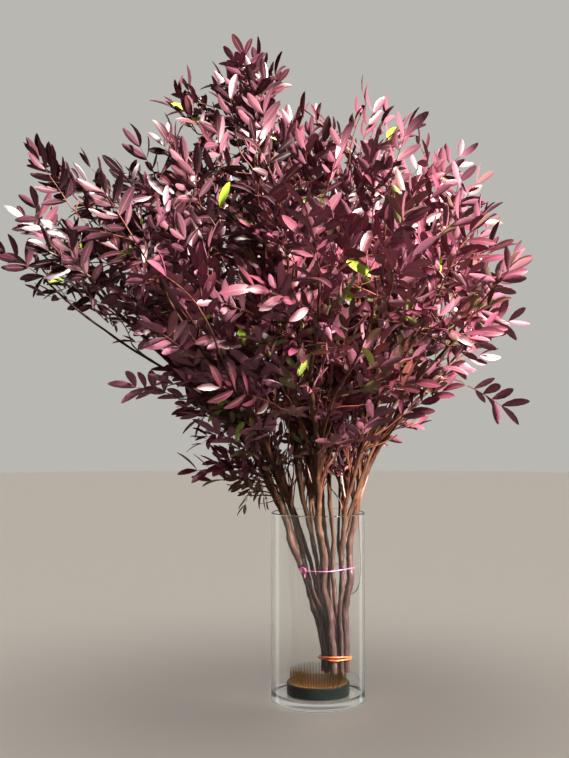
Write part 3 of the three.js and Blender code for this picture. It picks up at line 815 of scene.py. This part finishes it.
def stem_bark():
    """Bark of older stems: smooth with a dull shine, plum-brown low down where the dye stood, and
    above it red-brown on some stems and tan on others, with faint lengthwise ridges 6 mm apart and
    paler corky spots 14 mm apart. The grooves between the ridges hold painted shade and their tops
    painted light. The bark_tone attribute gives each stem its own share of tan."""
    material, tree = new_material("dyed_bark")
    place = add_node(tree, "TexCoord").outputs["Object"]
    tone = add_node(tree, "Attribute", settings={"attribute_name": "bark_tone"}).outputs["Fac"]
    height = add_node(tree, "SeparateXYZ", {"Vector": place}).outputs["Z"]
    rising = add_node(tree, "MapRange", {"Value": height, "From Min": 0.1, "From Max": 0.7})
    red, tan = (add_node(tree, "ValToRGB", {"Fac": rising}, stops=s) for s in (BARK_RED, BARK_TAN))
    toned = add_node(tree, "Mix", {"Factor": tone, "A": red, "B": tan}, {"data_type": "RGBA"})
    lengthwise = add_node(tree, "Mapping", {"Vector": place, "Scale": (1.0, 1.0, 0.12)})
    ridges = add_node(tree, "TexNoise", {"Scale": 1 / 0.006, "Detail": 3.0, "Vector": lengthwise})
    spots = add_node(tree, "TexNoise", {"Scale": 1 / 0.014, "Detail": 3.0, "Vector": place})
    pale = add_node(tree, "MapRange", {"Value": spots, "From Min": 0.54, "From Max": 0.75, "To Max": 0.4})
    spotted = {"Factor": pale, "A": toned, "B": linear(0x745A4E)}
    spotted = add_node(tree, "Mix", spotted, {"data_type": "RGBA"})
    dark = add_node(tree, "MapRange", {"Value": ridges, **RIDGE_SHADE})
    shaded = {"Factor": 1.0, "A": spotted, "B": dark}
    shaded = add_node(tree, "Mix", shaded, {"data_type": "RGBA", "blend_type": "MULTIPLY"})
    raised = add_node(tree, "Bump", {"Height": ridges, "Distance": 0.0012, "Strength": 1.0})
    skin = {"Roughness": 0.48, "Specular IOR Level": 0.3}
    add_surface(tree, {"Base Color": shaded, "Normal": raised, **skin})
    return material


# Object and mesh helpers


def linked(name, data):
    """A new object in the scene."""
    thing = bpy.data.objects.new(name, data)
    bpy.context.scene.collection.objects.link(thing)
    return thing


def add_object(name, mesh, materials, node):
    """A piece that rides on the part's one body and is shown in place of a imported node."""
    piece = linked(name, mesh)
    for material in materials:
        mesh.materials.append(material)
    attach(piece, "root")
    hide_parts(node)
    return piece


def to_mesh(bm, name):
    mesh = bpy.data.meshes.new(name)
    bm.to_mesh(mesh)
    bm.free()
    return mesh


def mesh_from(bm, name, sharp_angle=40):
    """A mesh with its faces turned outwards, smooth but for its sharp edges."""
    bmesh.ops.recalc_face_normals(bm, faces=bm.faces)
    mesh = to_mesh(bm, name)
    mesh.shade_smooth()
    mesh.set_sharp_from_angle(angle=math.radians(sharp_angle))
    return mesh


def spun(profile, steps):
    """A closed shape turned about Z from a profile of [radius, height] in millimetres."""
    bm = bmesh.new()
    corners = [bm.verts.new((radius * MM, 0, height * MM)) for radius, height in profile]
    edges = [bm.edges.new(pair) for pair in zip(corners, corners[1:])]
    bmesh.ops.spin(
        bm,
        geom=corners + edges,
        axis=(0, 0, 1),
        cent=(0, 0, 0),
        angle=2 * math.pi,
        steps=steps,
        use_merge=True,
    )
    bmesh.ops.remove_doubles(bm, verts=bm.verts, dist=1e-6)
    return bm


def arc(radius, height, round_radius, start, end, steps):
    """Profile points of a quarter or half round, from one angle to another in degrees."""
    turns = np.radians(np.linspace(start, end, steps + 1))
    return [(radius + round_radius * math.cos(a), height + round_radius * math.sin(a)) for a in turns]


def tube_mesh(name, lines, sides, closed=False):
    """Round rods along lines given as (points, radii) in millimetres, with closed ends."""
    curve = bpy.data.curves.new(name, "CURVE")
    curve.dimensions = "3D"
    curve.bevel_depth = MM
    curve.bevel_resolution = sides // 2 - 2
    curve.use_fill_caps = not closed
    for points, radii in lines:
        spline = curve.splines.new("POLY")
        spline.points.add(len(points) - 1)
        flat = np.hstack([np.asarray(points) * MM, np.ones((len(points), 1))])
        spline.points.foreach_set("co", flat.ravel())
        spline.points.foreach_set("radius", np.asarray(radii, float))
        spline.use_cyclic_u = closed
    drawn = bpy.data.objects.new(name, curve)
    mesh = bpy.data.meshes.new_from_object(drawn)
    bpy.data.objects.remove(drawn)
    bpy.data.curves.remove(curve)
    return mesh


# Vase


def vase_profile(wall, floor, foot_round):
    """Outline of the glass, with a ring just inside each end of a straight wall to keep it straight."""
    inner = VASE_RADIUS - wall
    lip = wall / 2
    return [
        (0, 0),
        (VASE_RADIUS - foot_round - 1, 0),
        *arc(VASE_RADIUS - foot_round, foot_round, foot_round, -90, 0, 8),
        (VASE_RADIUS, foot_round + 1),
        (VASE_RADIUS, VASE_HEIGHT - lip - 1),
        *arc(VASE_RADIUS - lip, VASE_HEIGHT - lip, lip, 0, 180, 8),
        (inner, VASE_HEIGHT - lip - 1),
        (inner, floor + foot_round + 1),
        *arc(inner - foot_round, floor + foot_round, foot_round, 0, -90, 6),
        (inner - foot_round - 1, floor),
        (0, floor),
    ]


def make_vase(settings):
    profile = vase_profile(settings.wall / MM, settings.floor / MM, settings.foot_round / MM)
    mesh = mesh_from(spun(profile, settings.facets), "vase_glass", 60)
    add_object("vase_glass", mesh, [plain_material("soda_lime_glass")], "vase")


# Flower frog

FROG_FACETS = 96
PLATE_LIP = 1.6
PIN_ROOT = 0.8
PIN_TIP_SHARE = 0.4


def make_frog(settings):
    outer = RING_HIGH[0]
    plate = PINS_HIGH[0]
    bottom, top = RING_LOW[2], RING_HIGH[2]
    inner = plate + SEAT
    ring = [
        (inner, bottom),
        *arc(outer - 1, bottom + 1, 1, -90, 0, 3),
        *arc(outer - 1, top - 1, 1, 0, 90, 3),
        (inner, top),
        (inner, bottom),
    ]
    mesh = mesh_from(spun(ring, FROG_FACETS), "frog_ring_rubber")
    add_object("frog_ring_rubber", mesh, [plain_material("moulded_rubber")], "frog_ring")
    dressed_node("frog_weight", plain_material("cast_lead"))
    mesh = frog_pins_mesh(plate, top, settings.pin_spacing / MM, settings.pin_radius / MM)
    brass = [plain_material("blackened_brass"), plain_material("aged_brass")]
    add_object("frog_pins_brass", mesh, brass, "frog_pins")


def dressed_node(name, material):
    """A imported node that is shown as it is, in the finish of the real one."""
    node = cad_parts[name]
    node.data.materials.clear()
    node.data.materials.append(material)


def frog_pins_mesh(radius, top, spacing, pin_radius):
    """The plate with its pins in staggered rows, shortened to the cut faces under the stems."""
    bm = spun([(0, PINS_LOW[2]), (radius, PINS_LOW[2]), (radius, top), (0, top)], FROG_FACETS)
    plate_faces = set(bm.faces)
    feet = [(stem_in_vase(stem, CUT_HEIGHT), stem.radius) for stem in STEMS]
    field = radius - PLATE_LIP
    row_spacing = spacing * math.sin(math.pi / 3)
    rows = math.ceil(field / row_spacing)
    for row in range(-rows, rows + 1):
        for column in range(-rows, rows + 1):
            x = (column + (0.5 if row % 2 else 0)) * spacing
            y = row * row_spacing
            if math.hypot(x, y) > field:
                continue
            under = any(math.hypot(x - foot[0], y - foot[1]) < r + pin_radius for foot, r in feet)
            tip = CUT_HEIGHT - SEAT if under else PINS_HIGH[2]
            length = tip - top + PIN_ROOT
            bmesh.ops.create_cone(
                bm,
                cap_ends=True,
                segments=6,
                radius1=pin_radius * MM,
                radius2=pin_radius * PIN_TIP_SHARE * MM,
                depth=length * MM,
                matrix=Matrix.Translation(Vector((x, y, top - PIN_ROOT + length / 2)) * MM),
            )
    for face in bm.faces:
        face.material_index = 0 if face in plate_faces and face.normal.z > 0.5 else 1
    return mesh_from(bm, "frog_pins_brass")


# Ties

BAND_RISE, BAND_SAG = 2.1, 0.5
BAND_OVER, BAND_OVER_TURN = 2.4, 0.55
TIE_TILT = 1.5
KNOT_PLACE = 75
KNOT_LOOPS = 11


def bundle_loop(z, clearance, turns, stations, path):
    """A loop drawn tight round the outer stems. The path gives each place's lift and how far it
    stands out."""
    middle = bundle_middle(z)
    points = []
    for i in range(stations):
        wound = turns * 2 * math.pi * i / stations
        lift, out = path(wound)
        heading = np.array([math.cos(wound), math.sin(wound)])
        reach = max(
            (stem_in_vase(stem, z + lift)[:2] - middle) @ heading + stem.radius + clearance
            for stem in STEMS[: len(OUTER_RADII)]
        )
        points.append([*(middle + heading * (reach + out)), z + lift])
    return np.array(points)


def band_path(wound):
    """Lift and standing out of a band wound twice, which crosses itself on the side that is seen."""
    past = wound - math.pi
    turn = -1 if past < 0 or past >= 2 * math.pi else 1
    within = past % (2 * math.pi)
    rise = BAND_RISE * abs(math.sin(within)) + BAND_SAG * math.sin(within / 2)
    over = math.exp(-(((wound - 3 * math.pi) / BAND_OVER_TURN) ** 2))
    return turn * rise - BAND_TILT * math.sin(wound), BAND_OVER * over


def string_path(wound):
    """Lift of the string, which is tied a little aslant, and no standing out."""
    return TIE_TILT * math.cos(wound), 0


def make_band(settings):
    radius = settings.band_thickness / MM / 2
    points = bundle_loop(BAND_HEIGHT, radius, 2, 200, band_path)
    mesh = tube_mesh("rubber_band_orange", [(points, np.full(len(points), radius))], 10, closed=True)
    mesh.shade_smooth()
    rubber = plain_material("orange_rubber_band")
    add_object("rubber_band_orange", mesh, [rubber], "rubber_band")


def make_string(settings):
    radius = settings.string_thickness / MM / 2
    points = bundle_loop(TIE_HEIGHT, SEAT + radius, 1, 120, string_path)
    loop = tube_mesh("string_loop", [(points, np.full(len(points), radius))], 6, closed=True)
    knot = tube_mesh("string_knot", knot_lines(points[KNOT_PLACE], radius), 6)
    bm = bmesh.new()
    bm.from_mesh(loop)
    bm.from_mesh(knot)
    mesh = mesh_from(bm, "tie_string_pink")
    add_object("tie_string_pink", mesh, [plain_material("pink_nylon_string")], "tie_string")


def knot_lines(at, radius):
    """A tangled little bow: loops and tails round the place where the string is tied."""
    middle = bundle_middle(TIE_HEIGHT)
    out = unit(np.array([at[0] - middle[0], at[1] - middle[1], 0]))
    beside = np.cross(UP, out)
    lines = []
    for i in range(KNOT_LOOPS):
        size = 2.4 + 2.2 * scatter(i)
        lean = 360 * scatter(i + 0.5)
        turns = np.linspace(0, 2 * math.pi, 14)
        u = turned(beside, out, lean)
        v = turned(UP, out, lean) + out * (0.6 * scatter(i + 0.2))
        ring = [at + out * 2 + (u * math.cos(t) + v * (math.sin(t) + 0.5)) * size for t in turns]
        lines.append((np.array(ring), np.full(len(ring), radius)))
    for side in (-1, 1):
        t = np.linspace(0, 1, 8)[:, None]
        tail = at + out * (2 + 1.5 * t) + beside * side * 3 * t - UP * (9 + side) * t**1.3
        lines.append((tail, np.full(len(tail), radius)))
    return lines


# Leaves

FROND_SHAPES = 18
FROND_PAIRS = (3, 4, 5, 4)
LEAF_HALF_THICKNESS = 0.25
RIB_SIDES, RIB_FOOT, RIB_TIP = 4, 0.95, 0.45
BOX_SPARE = 3
RIM_BESIDE, RIM_OVER = 8, 12
ALL_GREEN, PART_GREEN = 1.0, 0.975
GREEN_LEAFLETS, GREEN_FRONDS = 0.01, 0.008


def leaflet_mesh(length, width, fold, arch):
    """A leaflet along X: a grid drawn to a blunt oval, folded along its midrib and closed below."""
    bm = bmesh.new()
    bmesh.ops.create_grid(bm, x_segments=6, y_segments=2, size=1)
    place = bm.loops.layers.uv.new("leaf_place")
    under = bm.faces.layers.float.new("leaf_underside")
    for vert in bm.verts:
        vert.co.z = 1
    for face in bm.faces:
        for loop in face.loops:
            loop[place].uv = ((1 + math.sin(math.pi / 2 * loop.vert.co.x)) / 2, loop.vert.co.y)
    copied = bmesh.ops.duplicate(bm, geom=bm.verts[:] + bm.edges[:] + bm.faces[:])["geom"]
    lower_faces = [part for part in copied if isinstance(part, bmesh.types.BMFace)]
    bmesh.ops.reverse_faces(bm, faces=lower_faces)
    for face in lower_faces:
        face[under] = 1
        for vert in face.verts:
            vert.co.z = -1
    for vert in bm.verts:
        s = (1 + math.sin(math.pi / 2 * vert.co.x)) / 2
        across = vert.co.y
        half = width / 2 * max(math.sin(math.pi * s**1.2), 0) ** 0.6
        thickness = LEAF_HALF_THICKNESS * vert.co.z * (1 - across**2) * math.sin(math.pi * s)
        x = s * length
        vert.co = (x, across * half, fold * abs(across) * half - arch * x**2 + thickness)
    bmesh.ops.remove_doubles(bm, verts=bm.verts, dist=1e-4)
    return to_mesh(bm, "leaflet")


def rib_mesh(length):
    """The thin rib that carries the leaflets, drooping as the frond does."""
    bm = bmesh.new()
    bmesh.ops.create_cone(
        bm, cap_ends=True, segments=RIB_SIDES, radius1=RIB_FOOT, radius2=RIB_TIP, depth=length
    )
    sides = [edge for edge in bm.edges if edge.calc_length() > length / 2]
    bmesh.ops.subdivide_edges(bm, edges=sides, cuts=3)
    for vert in bm.verts:
        x = vert.co.z + length / 2
        vert.co = (x, vert.co.x, vert.co.y + frond_height(x, 0))
    for face in bm.faces:
        face.material_index = 1
    bmesh.ops.recalc_face_normals(bm, faces=bm.faces)
    return to_mesh(bm, "rib")


def leaf_bmesh():
    """An empty bmesh with the layers that the leaf material reads."""
    bm = bmesh.new()
    bm.loops.layers.uv.new("leaf_place")
    bm.faces.layers.float.new("leaf_underside")
    bm.verts.layers.float.new("leaf_tint")
    return bm


def frond_shape(index, rng):
    """One frond in millimetres with its stalk at the origin, and the leaflet number of each vertex."""
    pairs = FROND_PAIRS[index % len(FROND_PAIRS)]
    bm = leaf_bmesh()
    leaflet_of = []
    for number, (place, side, angle, length) in enumerate(leaflets_of(pairs)):
        length *= rng.uniform(0.82, 1.1)
        width = LEAFLET_WIDTH * rng.uniform(0.84, 1.1) * length / LEAFLET_LENGTH
        leaf = leaflet_mesh(length, width, rng.uniform(0.1, 0.5), rng.uniform(0.0, 0.009))
        turn = side * (angle + rng.uniform(-14, 12))
        leaf.transform(
            Matrix.Translation((place, 0, frond_height(place, 0)))
            @ Matrix.Rotation(math.radians(turn), 4, "Z")
            @ Matrix.Rotation(math.radians(rng.uniform(-34, 14)), 4, "Y")
            @ Matrix.Rotation(math.radians(side * rng.uniform(-50, 30)), 4, "X")
        )
        bm.from_mesh(leaf)
        leaflet_of += [number] * len(leaf.vertices)
        bpy.data.meshes.remove(leaf)
    rib = rib_mesh(FIRST_PAIR + PAIR_SPACING * (pairs - 1) + 2)
    bm.from_mesh(rib)
    bpy.data.meshes.remove(rib)
    leaflet_of += [0] * (len(bm.verts) - len(leaflet_of))
    bmesh.ops.triangulate(bm, faces=bm.faces)
    mesh = to_mesh(bm, "frond")
    mesh.shade_smooth()
    mesh.set_sharp_from_angle(angle=math.radians(70))
    return mesh, np.array(leaflet_of)


def fits_crown(corners):
    """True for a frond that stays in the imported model's box and out of the vase's mouth."""
    low, high = (np.array(corner) / MM for corner in cad_box)
    inside = (corners > low - BOX_SPARE).all() and (corners < high + BOX_SPARE).all()
    near_mouth = np.hypot(corners[:, 0], corners[:, 1]) < VASE_RADIUS + RIM_BESIDE
    return inside and not (near_mouth & (corners[:, 2] < VASE_HEIGHT + RIM_OVER)).any()


def frond_tints(origin, count, rng):
    """A tint for each leaflet: rosier to the right, as painted light from the key light's side, and darker
    to the left, as painted shade; bronze low in the middle, and here and there green."""
    # Painted light and shade: the tint rises from dark on the crown's left to rosy on its right.
    painted_light_tint = np.interp(origin[0], [-350, -180, -40, 250], [0.0, 0.06, 0.28, 0.62])
    low = np.interp(origin[2], [580, 760], [1, 0]) * np.interp(abs(origin[0]), [160, 320], [1, 0.2])
    middle = painted_light_tint + (0.9 - painted_light_tint) * low * rng.uniform(0.4, 1)
    tints = np.clip(middle + rng.normal(0, 0.14) + rng.normal(0, 0.08, count), 0, 0.95)
    tints[rng.random(count) < GREEN_LEAFLETS] = ALL_GREEN
    if rng.random() < GREEN_FRONDS:
        tints[:2] = PART_GREEN
    return tints


def make_leaves(settings, crown, leaf, twig):
    rng = np.random.default_rng(23)
    shapes = [frond_shape(i, rng) for i in range(FROND_SHAPES)]
    for branch in range(len(STEMS)):
        bm = leaf_bmesh()
        for owner, place, size in crown.fronds:
            shape, leaflet_of = shapes[rng.integers(FROND_SHAPES)]
            if owner != branch:
                continue
            frond = shape.copy()
            frond.transform(Matrix(place) @ Matrix.Scale(size * settings.leaf_size, 4))
            corners = np.empty(len(frond.vertices) * 3)
            frond.vertices.foreach_get("co", corners)
            if fits_crown(corners.reshape(-1, 3)):
                tints = frond_tints(place[:3, 3], leaflet_of.max() + 1, rng)
                frond.attributes["leaf_tint"].data.foreach_set("value", tints[leaflet_of])
                frond.transform(Matrix.Scale(MM, 4))
                bm.from_mesh(frond)
            bpy.data.meshes.remove(frond)
        name = f"branch_{branch + 1:02d}"
        add_object(f"{name}_leaves", to_mesh(bm, f"{name}_leaves"), [leaf, twig], name)
    for shape, _ in shapes:
        bpy.data.meshes.remove(shape)


# Wood

# By a limb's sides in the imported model: sides drawn, share of its radius, mm between rings, crook
SIDES_DRAWN = {5: 12, 4: 8, 3: 4}
ROUND_SHARE = {5: 0.92, 4: 0.85, 3: 0.7}
RING_SPACING = {5: 4, 4: 6, 3: 10}
CROOK = {5: 0.22, 4: 0.34, 3: 0.8}
NODE_SPACING = 24
NODE_SWELL = 0.15
UNEVEN_SWELL = 0.07
FINE_CROOK = 0.4
STRAIGHT_END = 15
STRAIGHT_AT_TIE = 14
STRAIGHT_OVER_BAND = 20


def make_wood(crown, bark, twig):
    for branch in range(len(STEMS)):
        node = f"branch_{branch + 1:02d}"
        name = f"{node}_wood"
        bm = bmesh.new()
        for sides, drawn in SIDES_DRAWN.items():
            lines = [limb_rod(limb) for limb in crown.limbs if limb.branch == branch and limb.sides == sides]
            part = tube_mesh(name, lines, drawn)
            if sides == 3:
                part.polygons.foreach_set("material_index", [1] * len(part.polygons))
            bm.from_mesh(part)
            bpy.data.meshes.remove(part)
        bmesh.ops.remove_doubles(bm, verts=bm.verts, dist=1e-6)
        tone = bm.verts.layers.float.new("bark_tone")
        for vert in bm.verts:
            vert[tone] = scatter(3.3 * branch + 0.4)
        add_object(name, mesh_from(bm, name, 50), [bark, twig], node)


def limb_rod(limb):
    """A limb's line and radii made irregular: it wanders, swells at its nodes and thins to its tip,
    and stays straight where the band and the string hold it."""
    place = distances_along(limb.smooth)
    total = place[-1]
    along = np.linspace(0, total, max(int(total / RING_SPACING[limb.sides]), 4))
    line = np.stack([np.interp(along, place, limb.smooth[:, axis]) for axis in range(3)], axis=1)
    radii = np.interp(along, place, limb.smooth_radii) * ROUND_SHARE[limb.sides]
    if limb.sides == 3:
        radii = np.linspace(radii[0], FINE_TIP_RADIUS, len(along))
    phase = 2.1 * limb.branch + total
    free = np.clip(along / STRAIGHT_END, 0, 1) * np.clip((total - along) / STRAIGHT_END, 0, 1)
    free *= np.clip((line[:, 2] - SPREAD_HEIGHT) / STRAIGHT_OVER_BAND, 0, 1)
    free *= np.clip(abs(line[:, 2] - TIE_HEIGHT) / STRAIGHT_AT_TIE, 0, 1)
    wander = np.stack(
        [
            np.sin(along / 15 + phase) + FINE_CROOK * np.sin(along / 6.1 + 2 * phase),
            np.cos(along / 17 + 3 * phase) + FINE_CROOK * np.cos(along / 6.7 + phase),
            np.zeros(len(along)),
        ],
        axis=1,
    )
    line = line + wander * (CROOK[limb.sides] * free * radii)[:, None]
    node = np.exp(-(((along + phase) % NODE_SPACING / 3 - 2) ** 2))
    uneven = UNEVEN_SWELL * np.sin(along / 9 + phase)
    return line, radii * (1 + (NODE_SWELL * node + uneven) * np.clip(free + (line[:, 2] > 90), 0, 1))


# Stage

# Directions that light comes from, and the angles that it fills
KEY_DIRECTION = (0.9, -0.62, 0.85)
BACK_DIRECTION = (-0.35, 1.0, 0.55)
BACK_LIGHT_SOFTNESS = 1.0
FLOOR_LIGHT_SOFTNESS = 1.4
SUN_COLOUR = 0xFFF6EC
STRIP_PLACES = {"left": (-1.36, 0.63, 0.35), "right": (1.23, 0.86, 0.35)}
STRIP_SIZE = (0.4, 1.5)
CAMERA_PLACE = (0, -1.733, 0.457)
CAMERA_TILT, CAMERA_TURN = 91.83, 1.77
CAMERA_LENS = 51.29


def make_stage(settings):
    bm = bmesh.new()
    bmesh.ops.create_circle(bm, cap_ends=True, segments=128, radius=settings.floor_radius)
    bmesh.ops.translate(bm, verts=bm.verts, vec=(0, 0, -0.0005))
    floor = linked("studio_floor", to_mesh(bm, "studio_floor"))
    floor.visible_glossy = False
    paint, tree = new_material("matte_floor_paint")
    add_surface(tree, {"Base Color": settings.floor_colour, "Roughness": 0.8})
    floor.data.materials.append(paint)
    add_world(settings)
    bpy.context.scene.view_settings.view_transform = "Standard"
    key = add_sun("key", KEY_DIRECTION, settings.key_strength, settings.key_softness)
    light_only(key, floor, "EXCLUDE")
    back = add_sun("back", BACK_DIRECTION, settings.back_light, BACK_LIGHT_SOFTNESS)
    back.visible_glossy = False
    back.visible_transmission = False
    light_only(back, floor, "EXCLUDE")
    overhead = add_sun("overhead", (0, 0, 1), settings.floor_light, FLOOR_LIGHT_SOFTNESS)
    light_only(overhead, floor, "INCLUDE")
    glass = bpy.data.objects["vase_glass"]
    glass.visible_shadow = False
    glass.visible_diffuse = False
    for side, place in STRIP_PLACES.items():
        light_only(add_strip(f"{side}_strip", place, settings.strip_power), glass, "INCLUDE")
    add_camera()


def light_only(lamp, target, state):
    """Keeps a light to one object, or off it."""
    lit = bpy.data.collections.new(lamp.name + "_receivers")
    lit.objects.link(target)
    lit.collection_objects[0].light_linking.link_state = state
    lamp.light_linking.receiver_collection = lit


def add_world(settings):
    """An even pale wall all round. It is seen at full strength and lights the piece far less. Seen
    through or mirrored in the glass, it is darker towards the viewer and below the vase."""
    world = bpy.data.worlds.new("studio")
    world.use_nodes = True
    tree = world.node_tree
    tree.nodes.clear()
    light_path = add_node(tree, "LightPath").outputs
    towards = add_node(tree, "TexCoord").outputs["Generated"]
    towards = add_node(tree, "SeparateXYZ", {"Vector": towards}).outputs
    behind = {"Value": towards["Y"], "From Min": -0.7, "From Max": 0.2, "To Min": 0.12}
    above = {"Value": towards["Z"], "From Min": -0.26, "From Max": -0.1, "To Min": 0.5}
    behind, above = (add_node(tree, "MapRange", inputs) for inputs in (behind, above))
    in_glass = add_node(tree, "Math", {0: behind, 1: above}, {"operation": "MULTIPLY"})
    in_glass = {0: in_glass, 1: light_path["Is Singular Ray"]}
    in_glass = add_node(tree, "Math", in_glass, {"operation": "MULTIPLY"})
    seen = {0: light_path["Is Camera Ray"], 1: in_glass}
    seen = add_node(tree, "Math", seen, {"operation": "MAXIMUM"})
    strength = add_node(tree, "Math", {0: seen, 1: settings.wall_light}, {"operation": "MAXIMUM"})
    wall = add_node(tree, "Background", {"Color": settings.wall_colour, "Strength": strength})
    add_node(tree, "OutputWorld", {"Surface": wall})
    bpy.context.scene.world = world


def add_sun(name, direction, strength, softness):
    light = bpy.data.lights.new(name, "SUN")
    light.energy = strength
    light.angle = softness
    light.color = linear(SUN_COLOUR)[:3]
    lamp = linked(name, light)
    lamp.rotation_euler = Vector(direction).to_track_quat("Z", "Y").to_euler()
    return lamp


def add_strip(name, place, power):
    """A tall narrow soft light that turns towards the vase and draws a line down its glass."""
    light = bpy.data.lights.new(name, "AREA")
    light.shape = "RECTANGLE"
    light.size, light.size_y = STRIP_SIZE
    light.energy = power
    lamp = linked(name, light)
    lamp.location = place
    lamp.rotation_euler = (math.pi / 2, 0, math.atan2(place[1], place[0]) + math.pi / 2)
    lamp.visible_camera = False
    lamp.visible_transmission = False
    return lamp


def add_camera():
    """The photograph's viewing angle: a little over the rim, from the front."""
    lens = bpy.data.cameras.new("camera")
    lens.sensor_width = 36
    lens.lens = CAMERA_LENS
    camera = linked("camera", lens)
    camera.location = CAMERA_PLACE
    camera.rotation_euler = (math.radians(CAMERA_TILT), 0, math.radians(CAMERA_TURN))
    bpy.context.scene.camera = camera


# Settings, operators and panel


def number_property(name, description, default, **limits):
    return FloatProperty(name=name, description=description, default=default, **limits)


def count_property(name, description, default):
    return IntProperty(name=name, description=description, default=default, min=1)


def length_property(name, description, default):
    return number_property(name, description, default, subtype="DISTANCE", unit="LENGTH")


def colour_property(name, description, default):
    colour = {"default": linear(default), "size": 4, "subtype": "COLOR", "min": 0, "max": 1}
    return FloatVectorProperty(name=name, description=description, **colour)


class VaseSettings(bpy.types.PropertyGroup):
    wall: length_property("Wall", "Thickness of the glass wall", 0.0035)
    floor: length_property("Floor", "Height of the thick glass floor", 0.013)
    foot_round: length_property("Foot round", "Radius of the rounded foot", 0.007)
    facets: count_property("Facets", "Steps round the vase", 288)


class FrogSettings(bpy.types.PropertyGroup):
    pin_spacing: length_property("Pin spacing", "Distance between neighbouring pins", 0.0049)
    pin_radius: length_property("Pin radius", "Radius of a pin at its foot", 0.00085)


class BranchSettings(bpy.types.PropertyGroup):
    fine_twigs: count_property("Fine twigs", "Twigs added to fill the crown", FINE_TWIGS)
    shoot_spacing: length_property("Shoot spacing", "Distance between the fronds along a shoot", 0.0225)
    leaf_size: number_property("Leaf size", "Size of every frond", 1.0, min=0.5, max=1.5)


class TieSettings(bpy.types.PropertyGroup):
    band_thickness: length_property("Band thickness", "Diameter of the rubber band", 0.0026)
    string_thickness: length_property("String thickness", "Diameter of the string", 0.0009)


class StageSettings(bpy.types.PropertyGroup):
    floor_radius: length_property("Floor radius", "Radius of the studio floor", 7.0)
    floor_colour: colour_property("Floor colour", "Colour of the floor paint", 0xC8C6C2)
    wall_colour: colour_property("Wall colour", "Colour of the wall all round", 0xB9B7B2)
    wall_light: number_property("Wall light", "Share of the wall's light on the piece", 0.08)
    key_strength: number_property("Key light", "Strength of the main light", 30.0)
    key_softness: number_property("Key softness", "Angle that the main light fills", 0.14, subtype="ANGLE")
    back_light: number_property("Back light", "Strength of the light from behind", 6.0)
    floor_light: number_property("Floor light", "Strength of the light on the floor", 2.5)
    strip_power: number_property("Strip lights", "Power of each strip light", 2.4, unit="POWER")


class VASE_OT_glass(bpy.types.Operator):
    """Model the glass cylinder vase"""

    bl_idname = "vase.glass"
    bl_label = "Glass vase"

    def execute(self, context):
        make_vase(context.scene.vase_glass)
        return {"FINISHED"}


class VASE_OT_frog(bpy.types.Operator):
    """Model the flower frog: its rubber ring, its weight and its brass pins"""

    bl_idname = "vase.frog"
    bl_label = "Flower frog"

    def execute(self, context):
        make_frog(context.scene.vase_frog)
        return {"FINISHED"}


class VASE_OT_branches(bpy.types.Operator):
    """Grow the twelve branches with their twigs and preserved leaves"""

    bl_idname = "vase.branches"
    bl_label = "Pistachio branches"

    def execute(self, context):
        settings = context.scene.vase_branches
        crown = grown_crown(settings)
        twig = young_twig()
        make_wood(crown, stem_bark(), twig)
        make_leaves(settings, crown, preserved_leaf(), twig)
        return {"FINISHED"}


class VASE_OT_ties(bpy.types.Operator):
    """Wind the rubber band and tie the string round the stems"""

    bl_idname = "vase.ties"
    bl_label = "Band and string"

    def execute(self, context):
        make_band(context.scene.vase_ties)
        make_string(context.scene.vase_ties)
        return {"FINISHED"}


class VASE_OT_stage(bpy.types.Operator):
    """Set up the floor, the lights and the camera"""

    bl_idname = "vase.stage"
    bl_label = "Studio stage"

    def execute(self, context):
        make_stage(context.scene.vase_stage)
        return {"FINISHED"}


OPERATORS = [VASE_OT_glass, VASE_OT_frog, VASE_OT_branches, VASE_OT_ties, VASE_OT_stage]
SETTINGS = {
    "vase_glass": VaseSettings,
    "vase_frog": FrogSettings,
    "vase_branches": BranchSettings,
    "vase_ties": TieSettings,
    "vase_stage": StageSettings,
}


class VASE_PT_panel(bpy.types.Panel):
    """Settings and buttons for every piece of the arrangement"""

    bl_idname = "VASE_PT_panel"
    bl_label = "Branches in a vase"
    bl_space_type = "VIEW_3D"
    bl_region_type = "UI"
    bl_category = "Vase"

    def draw(self, context):
        for operator, (name, group) in zip(OPERATORS, SETTINGS.items()):
            box = self.layout.box()
            for key in group.__annotations__:
                box.prop(getattr(context.scene, name), key)
            box.operator(operator.bl_idname)


def register():
    for group in SETTINGS.values():
        bpy.utils.register_class(group)
    for name, group in SETTINGS.items():
        setattr(bpy.types.Scene, name, PointerProperty(type=group))
    for operator in OPERATORS:
        bpy.utils.register_class(operator)
    bpy.utils.register_class(VASE_PT_panel)


def unregister():
    bpy.utils.unregister_class(VASE_PT_panel)
    for operator in reversed(OPERATORS):
        bpy.utils.unregister_class(operator)
    for name in SETTINGS:
        delattr(bpy.types.Scene, name)
    for group in SETTINGS.values():
        bpy.utils.unregister_class(group)


def write_sizes():
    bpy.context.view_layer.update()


def main():
    register()
    bpy.ops.vase.glass()
    bpy.ops.vase.frog()
    bpy.ops.vase.branches()
    bpy.ops.vase.ties()
    bpy.ops.vase.stage()
    write_sizes()


if __name__ == "__main__":
    main()
